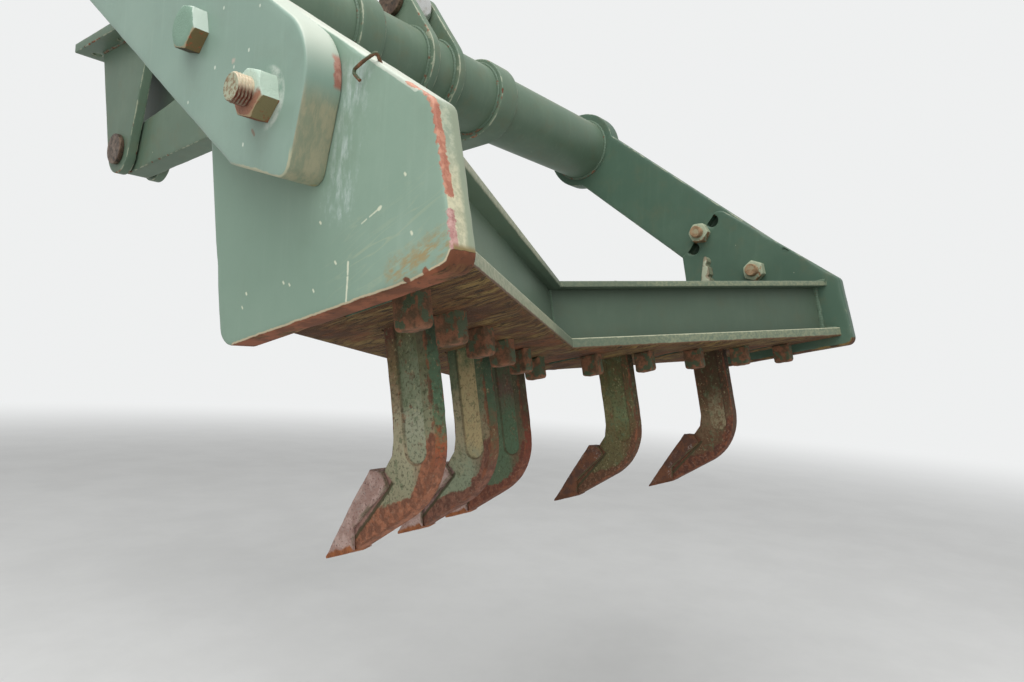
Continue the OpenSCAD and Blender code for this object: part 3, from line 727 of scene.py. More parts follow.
# %% Edge wear
t, a, put = new_group("edge_wear", {
    "Edge": ("Float", 1.0), "Vector": ("Vector", None), "Width": ("Float", 0.006),
    "Ragged": ("Float", 0.8), "Size": ("Float", 0.03)}, {"Mask": "Float"})
patchy = t.between(t.noise(a["Vector"], a["Size"], 5.0, 0.65), 0.3, 0.72)
swing = t.times(t.less(patchy, 0.5), t.times(a["Ragged"], 2.0))
width = t.times(a["Width"], t.plus(swing, 1.0))
put(Mask=t.between(t.less(width, a["Edge"]), -0.0004, 0.0006))

# %% [markdown]
# Rust is brown in the deep, orange where it is fresh and nearly black in its pits. One colour with
# bump would look like plastic, so two noises of different sizes pick between three colours.

# %% Rust
t, a, put = new_group("rust", {
    "Vector": ("Vector", None), "Deep": ("Color", srgb(104, 62, 44)), "Fresh": ("Color", srgb(158, 92, 58)),
    "Pits": ("Color", srgb(58, 42, 36)), "Size": ("Float", 0.03)}, {"Color": "Color", "Height": "Float"})
large = t.noise(a["Vector"], a["Size"], 4.0, 0.6)
small = t.noise(a["Vector"], t.times(a["Size"], 0.2), 4.0, 0.7)
color = t.mix(t.between(large, 0.42, 0.6), a["Deep"], a["Fresh"])
color = t.mix(t.between(small, 0.56, 0.72), color, a["Pits"])
put(Color=color, Height=t.less(t.times(large, 0.4), small))

# %% [markdown]
# Sun and rain fade paint in clouds, and water runs down it in faint upright streaks.

# %% Weathered paint
t, a, put = new_group("weathered_paint", {
    "Vector": ("Vector", None), "Paint": ("Color", srgb(128, 156, 136)),
    "Faded": ("Color", srgb(160, 178, 160)),
    "Dirt": ("Color", srgb(96, 98, 76)), "Dirty": ("Float", 0.3)}, {"Color": "Color", "Height": "Float"})
cloud = t.noise(a["Vector"], 0.14, 4.0, 0.6)
runs = t.noise(t.stretched(a["Vector"], 1.0, 1.0, 0.09), 0.012, 3.0, 0.6)
speck = t.noise(a["Vector"], 0.003, 2.0, 0.7)
color = t.mix(t.times(t.between(cloud, 0.38, 0.75), 0.4), a["Paint"], a["Faded"])
color = t.mix(t.times(t.between(runs, 0.5, 0.8), 0.25), color, a["Faded"])
grime = t.times(t.between(t.noise(a["Vector"], 0.05, 6.0, 0.7), 0.48, 0.75), a["Dirty"])
color = t.mix(grime, color, a["Dirt"])
put(Color=color, Height=t.plus(t.times(speck, 0.3), cloud))

# %% [markdown]
# Stones knock small chips out of the paint. Each cell of a Voronoi texture holds at most one, and
# its random colour says whether and how large.

# %% Chips
t, a, put = new_group("chips", {
    "Vector": ("Vector", None), "Size": ("Float", 0.03), "Share": ("Float", 0.2),
    "Radius": ("Float", 0.12)}, {"Mask": "Float"})
bent = t.vector("SUBTRACT", t.add("ShaderNodeTexNoise", {"Vector": a["Vector"], "Scale": 160.0}).outputs[1],
                (0.5, 0.5, 0.5)).outputs[0]
bent = t.vector("MULTIPLY", bent, (0.006, 0.006, 0.006)).outputs[0]
place = t.vector("ADD", a["Vector"], bent).outputs[0]
cells = t.add("ShaderNodeTexVoronoi", {"Vector": place, "Scale": t.math("DIVIDE", 1.0, a["Size"])})
lot = t.add("ShaderNodeSeparateColor", {0: cells.outputs["Color"]}).outputs
reach_of = t.times(a["Radius"], t.plus(lot[0], 0.35))
near = t.between(t.less(reach_of, cells.outputs["Distance"]), 0.0, 0.03)
put(Mask=t.times(near, t.math("LESS_THAN", lot[1], a["Share"])))

# %% [markdown]
# A scratch is a thin level line of a noise that is stretched along one direction.

# %% Scratches
t, a, put = new_group("scratches", {
    "Vector": ("Vector", None), "Size": ("Float", 0.05), "Width": ("Float", 0.01),
    "Share": ("Float", 0.5)}, {"Mask": "Float"})
level = t.math("ABSOLUTE", t.less(t.noise(a["Vector"], a["Size"], 1.0, 0.4), 0.5))
line = t.between(level, a["Width"], 0.0)
gate = t.noise(a["Vector"], t.times(a["Size"], 1.7), 2.0, 0.5)
put(Mask=t.times(line, t.between(gate, t.less(1.0, a["Share"]), 1.0)))

# %% [markdown]
# Dust lies on what faces up, and dried earth clings below, dragged fore and aft like wood grain.

# %% Dust and soil
t, a, put = new_group("dust", {"Vector": ("Vector", None), "Amount": ("Float", 0.5)}, {"Mask": "Float"})
upward = t.add("ShaderNodeSeparateXYZ", {0: t.add("ShaderNodeNewGeometry").outputs["Normal"]}).outputs[2]
thin = t.between(t.noise(a["Vector"], 0.03, 5.0, 0.7), 0.3, 0.75)
put(Mask=t.times(t.times(t.between(upward, 0.55, 0.95), thin), a["Amount"]))

t, a, put = new_group("soil", {
    "Vector": ("Vector", None), "Tan": ("Color", srgb(128, 104, 58)), "Rust": ("Color", srgb(85, 55, 28)),
    "Dark": ("Color", srgb(44, 32, 18))}, {"Color": "Color", "Height": "Float"})
drawn = t.stretched(a["Vector"], 1.0, 0.1, 0.5)
broad = t.noise(drawn, 0.013, 4.0, 0.6)
fine = t.noise(drawn, 0.0035, 5.0, 0.7)
patch = t.noise(a["Vector"], 0.07, 3.0, 0.6)
color = t.mix(t.between(broad, 0.36, 0.62), a["Rust"], a["Tan"])
color = t.mix(t.times(t.between(patch, 0.45, 0.6), 0.6), color, a["Rust"])
color = t.mix(t.between(fine, 0.47, 0.60), color, a["Dark"])
put(Color=color, Height=t.plus(t.times(broad, 0.6), t.times(fine, -0.8)))

# %% [markdown]
# Some marks are known one by one: a stroke across the near plate, a drip beside it. Each is the
# distance to a short line, with a ragged rim.

# %% Strokes
t, a, put = new_group("stroke", {
    "Vector": ("Vector", None), "From": ("Vector", None), "To": ("Vector", None),
    "Width": ("Float", 0.002), "Soft": ("Float", 0.001)}, {"Mask": "Float"})
run = t.vector("SUBTRACT", a["To"], a["From"]).outputs[0]
away = t.vector("SUBTRACT", a["Vector"], a["From"]).outputs[0]
share = t.math("DIVIDE", t.vector("DOT_PRODUCT", away, run).outputs[1],
               t.vector("DOT_PRODUCT", run, run).outputs[1])
share = t.add("ShaderNodeClamp", {0: share}).outputs[0]
nearest = t.add("ShaderNodeVectorMath", {0: run, "Scale": share}, operation="SCALE").outputs[0]
gap = t.vector("LENGTH", t.vector("SUBTRACT", away, nearest).outputs[0]).outputs[1]
ragged = t.times(t.less(t.noise(a["Vector"], 0.006, 4.0, 0.7), 0.5), t.times(a["Width"], 2.4))
gap = t.plus(gap, ragged)
put(Mask=t.between(gap, t.plus(a["Width"], a["Soft"]), t.less(a["Width"], a["Soft"])))
print("groups:", sorted(g.name for g in bpy.data.node_groups))

# %% [markdown]
# Painted steel is the largest finish. Under the paint lie a pale primer rim and then rust, so
# each bare patch has a light border, as on the real machine. One function makes all paints, and
# its values say how faded the paint is and how wide its bare edges are. The near arm and the near
# plate keep the paint's own green; the darker greens of the far side, the bars and the upper parts
# are the same paint with painted shade.

# %% Painted steel
NEAR_GREEN = srgb(131, 155, 138)
NEAR_FADED = srgb(154, 174, 158)
ARM_GREEN = srgb(127, 151, 137)
ARM_FADED = srgb(146, 168, 154)
# Painted shade: the near green darkened, for the far arm, the far plate, the front bars and the spacers.
SHADED_GREEN = srgb(66, 90, 74)
SHADED_FADED = srgb(86, 108, 90)
# Painted shade: the near green darkened, for the rear bars, the tube, rails, lever, saddle and cylinder.
SHADED_BAR_GREEN = srgb(88, 108, 90)
SHADED_BAR_FADED = srgb(112, 130, 110)
PRIMER = srgb(174, 176, 152)
DIRT = srgb(104, 96, 68)


class Finish(Tree):
    """A new material with its place and edge distance ready to use."""

    def __init__(self, name):
        self.material = bpy.data.materials.new(name)
        self.material.use_nodes = True
        super().__init__(self.material.node_tree)
        self.shader = self.tree.nodes["Principled BSDF"]
        self.place = self.add("ShaderNodeTexCoord").outputs["Object"]
        self.edge = self.mark("edge")

    def mark(self, name):
        return self.add("ShaderNodeAttribute", attribute_name=name).outputs["Fac"]

    def group(self, name, **inputs):
        """A shared group, which reads this finish's own place unless it is given another."""
        return super().group(name, **{"Vector": self.place, **inputs})

    def grain(self, size, detail=3.0, rough=0.55):
        return self.noise(self.place, size, detail, rough)

    def sway(self, size, reach, detail, rough):
        """A noise about nothing: it moves a boundary by up to half its reach either way."""
        return self.times(self.less(self.grain(size, detail, rough), 0.5), reach)

    def facing(self):
        normal = self.add("ShaderNodeNewGeometry").outputs["Normal"]
        return self.add("ShaderNodeSeparateXYZ", {0: normal}).outputs

    def spot(self):
        return self.add("ShaderNodeSeparateXYZ", {0: self.place}).outputs

    def both(self, *masks):
        total = masks[0]
        for mask in masks[1:]:
            total = self.times(total, mask)
        return total

    def done(self, color, roughness, height, depth=0.001, metallic=0.0, specular=0.35):
        """Feeds the shader: height is in shares of depth, in metres."""
        shader = self.shader.inputs
        self.tree.links.new(color, shader["Base Color"])
        if isinstance(roughness, bpy.types.NodeSocket):
            self.tree.links.new(roughness, shader["Roughness"])
        else:
            shader["Roughness"].default_value = roughness
        shader["Metallic"].default_value = metallic
        shader["Specular IOR Level"].default_value = specular
        bump = self.add("ShaderNodeBump", {"Height": height, "Distance": depth, "Strength": 1.0})
        self.tree.links.new(bump.outputs[0], shader["Normal"])
        return self.material


def paint_layers(f, paint, faded, edge_width, ragged=0.8, dirty=0.3, dust=0.4, chip_share=0.12, rusting=0.3,
                 worn_here=1.0):
    """Colour, bare mask and height of weathered paint: a thin pale line of primer along the
    arrises, rust in a share of it, small chips and dust on what faces up. worn_here may keep
    the arrises of some places whole."""
    coat = f.group("weathered_paint", Paint=paint, Faded=faded, Dirt=DIRT, Dirty=dirty)
    rim = f.group("edge_wear", Edge=f.edge, Width=edge_width, Ragged=ragged)["Mask"]
    bare = f.group("edge_wear", Edge=f.edge, Width=edge_width * 1.1, Ragged=1.3, Size=0.02)["Mask"]
    share = f.grain(0.08, 3.0, 0.6)
    bare = f.times(bare, f.between(share, 0.68 - 0.3 * rusting, 0.74 - 0.3 * rusting))
    chip = f.group("chips", Size=0.024, Share=chip_share, Radius=0.06)["Mask"]
    rust = f.group("rust", Fresh=srgb(136, 84, 58))
    rim, bare = f.both(rim, worn_here), f.both(bare, worn_here)
    color = f.mix(f.both(rim, 0.5), coat["Color"], PRIMER)
    color = f.mix(f.times(chip, 0.7), color, PRIMER)
    color = f.mix(bare, color, rust["Color"])
    lies = f.group("dust", Amount=dust)["Mask"]
    color = f.mix(lies, color, srgb(158, 156, 136))
    coat_height = f.times(coat["Height"], 0.25)
    gone = f.larger(bare, chip)
    height = f.less(coat_height, f.times(gone, 0.5))
    height = f.plus(height, f.times(f.times(rust["Height"], bare), 0.5))
    return color, bare, height


def painted(name, paint, faded, edge_width=0.004, **more):
    """A whole painted finish: satin paint, and matt where it is bare."""
    f = Finish(name)
    color, bare, height = paint_layers(f, paint, faded, edge_width, **more)
    roughness = f.plus(f.times(bare, 0.35), 0.5)
    return f.done(color, roughness, height)


# Painted shade: the far arm's paint is the near green darkened.
shaded_paint = painted("shaded_paint", SHADED_GREEN, SHADED_FADED, 0.0014, ragged=1.0, dirty=0.2, chip_share=0.08,
                     rusting=0.1)
# Painted shade: the tube, rails, lever, saddle and cylinder wear the near green darkened.
upper_paint = painted("upper_paint", SHADED_BAR_GREEN, SHADED_BAR_FADED, 0.0018, ragged=1.0, dirty=0.3, dust=0.6,
                      rusting=0.4)

# Painted shade: the far plate's paint is the near green darkened; the soil and rust on its lower edge are
# real.
f = Finish("far_plate_paint")
hole_at = in_arm(np.array([[-inner_x, pitch_r, 0]]))[0]
from_holes = f.between(f.vector("DISTANCE", f.place, tuple(hole_at)).outputs[1], 0.075, 0.085)
color, bare, height = paint_layers(f, SHADED_GREEN, SHADED_FADED, 0.0012, ragged=1.0, dirty=0.25,
                                   chip_share=0.08, rusting=0.1, worn_here=from_holes)
rust = f.group("rust", Deep=srgb(70, 48, 34), Fresh=srgb(104, 66, 42))
soil = f.group("soil")
wobble = f.sway(0.03, 0.008, 4.0, 0.6)
soiled = f.between(f.plus(f.mark("low"), wobble), 0.005, 0.002)
soiled = f.larger(soiled, f.between(f.facing()[2], -0.6, -0.85))
earth = f.mix(f.between(f.grain(0.05, 4.0, 0.6), 0.42, 0.58), rust["Color"], soil["Color"])
far_plate_paint = f.done(f.mix(soiled, color, earth), f.plus(f.both(soiled, 0.35), 0.5), height)
print("paints:", shaded_paint.name, upper_paint.name, far_plate_paint.name)

# %% [markdown]
# The near arm keeps the paint's own light green. Its edge face carries a painted highlight, nearly
# white, round the heel and is rubbed to an olive brown below, and a chalky arc lies beside the nut,
# where a washer once turned.

# %% Near arm's paint
ARM_FACE = block_w / 2 + arm_t


def arm_spot(along, square):
    """A place on the near arm's outer face."""
    return tuple(in_arm(np.array([[ARM_FACE, along, square]]))[0])


f = Finish("near_arm_paint")
color, bare, height = paint_layers(f, ARM_GREEN, ARM_FADED, 0.0008, ragged=0.9, dirty=0.1, chip_share=0.05,
                                   rusting=0.0)
facing, spot = f.facing(), f.spot()
on_edge = f.between(facing[0], 0.75, 0.35)
# Painted highlight: the edge face is painted nearly white round the heel, high up, where light falls on its
# curve.
bleached = f.between(spot[2], -0.600, -0.545)
color = f.mix(f.both(on_edge, bleached, f.between(facing[1], -0.9, 0.2)), color, srgb(190, 199, 184))
streaks = f.between(f.noise(f.stretched(f.place, 1.0, 1.0, 0.2), 0.008, 5.0, 0.7), 0.36, 0.64)
olive = f.mix(streaks, srgb(134, 140, 118), srgb(160, 154, 128))
stains = f.between(f.noise(f.stretched(f.place, 1.0, 1.0, 0.4), 0.03, 4.0, 0.6), 0.54, 0.66)
olive = f.mix(f.times(stains, 0.6), olive, srgb(150, 134, 90))
color = f.mix(f.both(on_edge, f.between(spot[2], -0.596, -0.625), f.less(1.0, stains)), color, olive)
color = f.mix(f.both(on_edge, f.between(spot[2], -0.600, -0.630), stains), color, olive)
lip = f.group("edge_wear", Edge=f.edge, Width=0.0026, Ragged=0.4)["Mask"]
color = f.mix(f.both(lip, f.between(spot[2], -0.660, -0.675), 0.8), color, srgb(176, 172, 142))
wobble = f.sway(0.008, 0.008, 4.0, 0.7)
beside_plate = f.between(f.plus(spot[0], wobble), block_w / 2 + 0.0115, block_w / 2 + 0.0085)
scar = f.both(on_edge, beside_plate, f.between(f.math("ABSOLUTE", f.plus(spot[2], 0.583)), 0.020, 0.014))
pinkish = f.group("rust", Deep=srgb(156, 104, 90), Fresh=srgb(178, 132, 118), Pits=srgb(126, 68, 44),
                  Size=0.012)
color = f.mix(scar, color, pinkish["Color"])
from_nut = f.vector("DISTANCE", f.place, arm_spot(0, 0)).outputs[1]
cloudy = f.between(f.grain(0.012, 5.0, 0.7), 0.32, 0.6)
washer = f.both(f.between(from_nut, 0.0345, 0.0305), f.between(spot[1], pivot_y - 0.004, pivot_y + 0.012),
                cloudy)
color = f.mix(f.both(washer, f.between(facing[0], 0.6, 0.9), 0.75), color, srgb(192, 200, 190))
CHIPS = [(0.0635, 0.0267), (0.0796, 0.0014), (0.1166, -0.015), (0.1434, 0.0429), (0.0743, 0.0697),
         (0.1468, -0.070), (0.0075, -0.0538)]
for along, square in CHIPS:
    fleck = f.group("stroke", From=arm_spot(along, square),
                    To=arm_spot(along - 0.0008, square - 0.0012), Width=0.0011, Soft=0.0007)["Mask"]
    color = f.mix(fleck, color, srgb(206, 214, 198))
pink_spot = f.group("stroke", From=arm_spot(0.0852, 0.0048), To=arm_spot(0.084, 0.0058),
                    Width=0.0022, Soft=0.002)["Mask"]
color = f.mix(f.times(pink_spot, 0.7), color, srgb(190, 170, 156))
drip = f.group("stroke", From=arm_spot(0.0016, -0.0352), To=arm_spot(-0.0053, -0.0374),
               Width=0.0016, Soft=0.001)["Mask"]
color = f.mix(f.times(drip, 0.7), color, srgb(128, 92, 70))
near_arm_paint = f.done(color, f.plus(f.times(bare, 0.35), 0.46), height)

# %% [markdown]
# The near end plate carries the story: a salmon red stripe down its rear edge, rust under its
# lower edge, a worn white line along its top, chalky streaks, strokes, drips and fine scratches.
# Each band reads the distance to its own edge of the plate.

# %% Near end plate's paint
f = Finish("near_plate_paint")
color, bare, height = paint_layers(f, NEAR_GREEN, NEAR_FADED, 0.001, ragged=0.9, dirty=0.08, chip_share=0.05,
                                   rusting=0.0)
rear, low, top = f.mark("rear"), f.mark("low"), f.mark("top")
facing, spot = f.facing(), f.spot()
rust = f.group("rust", Deep=srgb(104, 62, 40), Fresh=srgb(134, 80, 54))
red = f.group("rust", Deep=srgb(166, 108, 88), Fresh=srgb(190, 136, 112), Pits=srgb(124, 72, 64),
              Size=0.010)
mauve = f.group("rust", Deep=srgb(164, 118, 112), Fresh=srgb(190, 152, 144), Pits=srgb(136, 92, 92),
                Size=0.010)
cloud = f.grain(0.05, 5.0, 0.65)
# Painted shade: the face is painted darker away from its rear edge.
color = f.mix(f.times(f.between(rear, 0.08, 0.20), 0.55), color, srgb(112, 138, 120))


def plate_spot(rearward, up):
    """A place on the near plate's outer face."""
    return tuple(in_block(np.array([[block_w / 2, rearward, up]]))[0])


def plate_stroke(start, end, width, soft=0.0008):
    """A mask along a line on the near plate."""
    return f.group("stroke", From=plate_spot(*start), To=plate_spot(*end), Width=width, Soft=soft)["Mask"]


FLECKS = [(-0.048, 0.0985), (-0.0474, 0.0433), (-0.2432, 0.047), (-0.2328, 0.0423), (-0.1553, 0.0451),
          (-0.1737, 0.0915), (-0.1932, 0.0263), (-0.3142, 0.0522), (-0.3239, 0.0385)]
strokes = [((-0.0862, 0.0768), (-0.0838, 0.0780), 0.0017), ((-0.0995, 0.0738), (-0.0875, 0.0768), 0.0006),
           ((-0.1115, 0.0708), (-0.104, 0.0728), 0.0005)]
strokes += [((-0.1359, 0.0398), (-0.138, 0.028), 0.0012), ((-0.1385, 0.0255), (-0.1437, 0.0024), 0.0012)]
strokes += [((x, y), (x + 0.001, y - 0.0018), 0.0012) for x, y in FLECKS]
for start, end, width in strokes:
    color = f.mix(plate_stroke(start, end, width), color, srgb(206, 210, 186))
streaky = f.between(f.noise(f.stretched(f.place, 1.0, 1.0, 0.3), 0.008, 5.0, 0.7), 0.40, 0.64)
patchy = f.between(f.grain(0.035, 3.0, 0.6), 0.34, 0.58)
chalk = f.larger(plate_stroke((-0.102, 0.215), (-0.142, 0.105), 0.016, 0.015),
                 plate_stroke((-0.180, 0.300), (-0.165, 0.285), 0.012, 0.012))
color = f.mix(f.both(chalk, streaky, patchy, 0.75), color, srgb(190, 204, 200))
slant = f.add("ShaderNodeMapping", {"Vector": f.place, "Rotation": (math.radians(-25.8), 0, 0)}).outputs[0]
fine = f.group("scratches", Vector=f.stretched(slant, 1.0, 0.09, 1.0), Size=0.007, Width=0.045,
               Share=0.85)["Mask"]
low_corner = plate_stroke((-0.125, 0.040), (-0.015, 0.052), 0.034, 0.024)
color = f.mix(f.both(fine, low_corner, 0.4), color, srgb(180, 182, 148))
blots = f.between(f.noise(f.stretched(slant, 1.0, 0.3, 1.0), 0.010, 5.0, 0.7), 0.42, 0.58)
stain = plate_stroke((-0.072, 0.013), (-0.010, 0.023), 0.010, 0.010)
color = f.mix(f.both(stain, blots, 0.75), color, srgb(156, 126, 72))
pale_top = f.group("edge_wear", Edge=top, Width=0.0036, Ragged=0.25, Size=0.05)["Mask"]
color = f.mix(f.times(pale_top, 0.7), color, srgb(204, 210, 196))
wobble = f.sway(0.012, 0.006, 4.0, 0.65)
cut_face = f.between(facing[0], 0.7, 0.4)
top_face = f.both(cut_face, f.between(facing[2], 0.3, 0.6))
color = f.mix(f.both(top_face, 0.8), color, srgb(206, 209, 196))
rear_face = f.both(cut_face, f.between(facing[1], 0.4, 0.8))
inward = f.between(f.plus(spot[0], f.times(wobble, 1.5)), 0.649, 0.641)
cream = f.mix(f.between(f.grain(0.008, 5.0, 0.7), 0.38, 0.6), srgb(172, 172, 144), srgb(202, 198, 168))
greyer = f.mix(f.between(f.grain(0.012, 4.0, 0.7), 0.42, 0.6), srgb(146, 158, 138), srgb(176, 182, 158))
cream = f.mix(f.between(low, 0.060, 0.110), cream, greyer)
color = f.mix(rear_face, color, f.mix(inward, cream, srgb(142, 152, 130)))


def arris_band(points, width, soft=0.0006):
    """A mask along the near plate's rear arris, through places of x, rearward and up."""
    places = in_block(np.array(points)).tolist()
    masks = [f.group("stroke", From=a, To=b, Width=width, Soft=soft)["Mask"]
             for a, b in zip(places, places[1:])]
    total = masks[0]
    for mask in masks[1:]:
        total = f.larger(total, mask)
    return total


stripe = arris_band([(0.6645, -0.030, 0.180), (0.664, -0.014, 0.168), (0.663, -0.0045, 0.152),
                     (0.661, -0.003, 0.110), (0.6595, -0.001, 0.066)], 0.0045)
color = f.mix(stripe, color, red["Color"])
pinker = arris_band([(0.661, -0.0015, 0.048), (0.661, -0.001, 0.014)], 0.0042)
color = f.mix(pinker, color, mauve["Color"])
line_up = f.plus(low, f.times(wobble, 0.5))
brown_to = f.plus(f.times(f.between(rear, 0.06, 0.02), 0.0034), 0.0008)
above = f.less(line_up, brown_to)
color = f.mix(f.both(f.between(above, 0.007, 0.001), rear_face), color, srgb(134, 116, 74))
color = f.mix(f.both(f.between(above, 0.0024, 0.0014), f.between(facing[1], 0.6, 0.3)), color,
              srgb(190, 176, 146))
brown_low = f.between(above, 0.0005, -0.0003)
color = f.mix(brown_low, color, rust["Color"])
notches = f.larger(plate_stroke((-0.0607, 0.003), (-0.058, 0.001), 0.003),
                   plate_stroke((-0.035, 0.005), (-0.034, 0.002), 0.0035))
color = f.mix(notches, color, rust["Color"])
soil = f.group("soil")
under_low = f.times(cut_face, f.between(facing[2], -0.4, -0.7))
color = f.mix(under_low, color, f.mix(f.between(cloud, 0.5, 0.66), rust["Color"], soil["Color"]))
worn = f.larger(brown_low, under_low)
height = f.less(height, f.times(worn, 0.5))
roughness = f.plus(f.times(f.larger(worn, bare), 0.35), 0.46)
near_plate_paint = f.done(color, roughness, height)
# The near paints hold the paint's own green, and the near arm's pale heel is a painted highlight.
print("sun-bleached paints:", near_arm_paint.name, near_plate_paint.name)

# %% [markdown]
# The block's bars are green on the web and pale tan along their flanges' edges. Their lower faces
# have no paint left: soil and rust lie there, drawn out fore and aft.

# %% Bars' paint and the soil below
def bar_finish(name, paint, faded, middle, near_end_light):
    """Paint that is darker at the V's middle and paler toward the near plate, painted shade and
    light, with cream lips along the flanges, shaded on the far side and at the middle, a painted
    shadow under the top flange, and soil on what faces down."""
    f = Finish(name)
    color, bare, height = paint_layers(f, paint, faded, 0.0012, ragged=1.0, dirty=0.3, dust=0.3,
                                       chip_share=0.08, rusting=0.15)
    facing, spot, up = f.facing(), f.spot(), f.mark("up")
    # Painted shade darkens the V's middle, and painted light makes the paint paler toward the near plate.
    color = f.mix(f.both(f.between(spot[0], 0.27, 0.03), 0.6), color, middle)
    color = f.mix(f.both(f.between(spot[0], 0.22, 0.60), 0.6), color, near_end_light)
    rearward = f.between(facing[1], 0.5, 0.8)
    lip_face = f.both(rearward, f.between(f.edge, 0.013, 0.011))
    speck = f.between(f.grain(0.006, 5.0, 0.7), 0.4, 0.62)
    near_lip = f.mix(speck, srgb(132, 138, 114), srgb(162, 160, 134))
    # Painted shade: the lips are darker on the far side and at the V's middle.
    shaded_far_lip = f.mix(speck, srgb(100, 112, 94), srgb(132, 136, 110))
    lips = f.mix(f.between(spot[0], -0.05, 0.20), shaded_far_lip, near_lip)
    middle_shade = f.between(f.math("ABSOLUTE", spot[0]), 0.22, 0.12)
    lips = f.mix(f.both(middle_shade, 0.6), lips, srgb(80, 92, 76))
    color = f.mix(f.both(lip_face, 0.85), color, lips)
    wobble = f.sway(0.012, 0.004, 4.0, 0.65)
    level = f.plus(up, wobble)
    upper_line = f.both(f.between(f.math("ABSOLUTE", f.less(level, 0.0195)), 0.0022, 0.0010),
                        f.between(f.edge, 0.006, 0.004))
    color = f.mix(f.both(upper_line, 0.7), color, srgb(184, 184, 156))
    color = f.mix(f.both(rearward, f.between(level, 0.0034, 0.0020)), color, srgb(96, 68, 46))
    soil = f.group("soil")
    below = f.both(f.between(facing[2], -0.45, -0.8), f.between(up, 0.014, 0.010))
    # Painted shadow: the web is painted dark under the top flange, away from the near plate.
    flange_shadow = f.both(f.between(up, 0.096, 0.122), f.between(f.edge, 0.012, 0.018),
                          f.between(spot[0], 0.40, 0.15))
    color = f.mix(f.both(flange_shadow, 0.45), color, srgb(44, 54, 40))
    color = f.mix(below, color, soil["Color"])
    height = f.plus(height, f.both(soil["Height"], below, 1.5))
    rough_where = f.larger(bare, below)
    return f.done(color, f.plus(f.both(rough_where, 0.38), 0.48), height, 0.0015)


# The last two colours are the painted shade at the V's middle and the painted light toward the near plate.
bar_paint = bar_finish("bar_paint", SHADED_BAR_GREEN, SHADED_BAR_FADED, srgb(60, 73, 60), srgb(118, 134, 114))
front_bar_paint = bar_finish("front_bar_paint", SHADED_GREEN, SHADED_FADED, srgb(60, 76, 62), srgb(84, 104, 84))

f = Finish("dried_soil")
soil = f.group("soil")
rust = f.group("rust", Deep=srgb(74, 47, 28), Fresh=srgb(110, 66, 37), Size=0.05)
grain = f.grain(0.002, 3.0, 0.7)
color = f.mix(f.between(f.grain(0.11, 3.0, 0.6), 0.46, 0.62), soil["Color"], rust["Color"])
color = f.mix(f.times(f.between(grain, 0.5, 0.8), 0.3), color, srgb(154, 134, 94))
dried_soil = f.done(color, 0.92, f.plus(soil["Height"], f.times(grain, 0.3)), 0.003)
print("bars and soil:", bar_paint.name, front_bar_paint.name, dried_soil.name)

# %% [markdown]
# Each shank has its own mix of remains: olive and green paint on the leg, a pale recess, rust on
# the heel and the belly. The mesh says how far a point is from the recess, from the heel and below
# the block, and one function turns that and a table of colours into five finishes.

# %% Shanks' finishes
SHANK_SPAN = 0.30


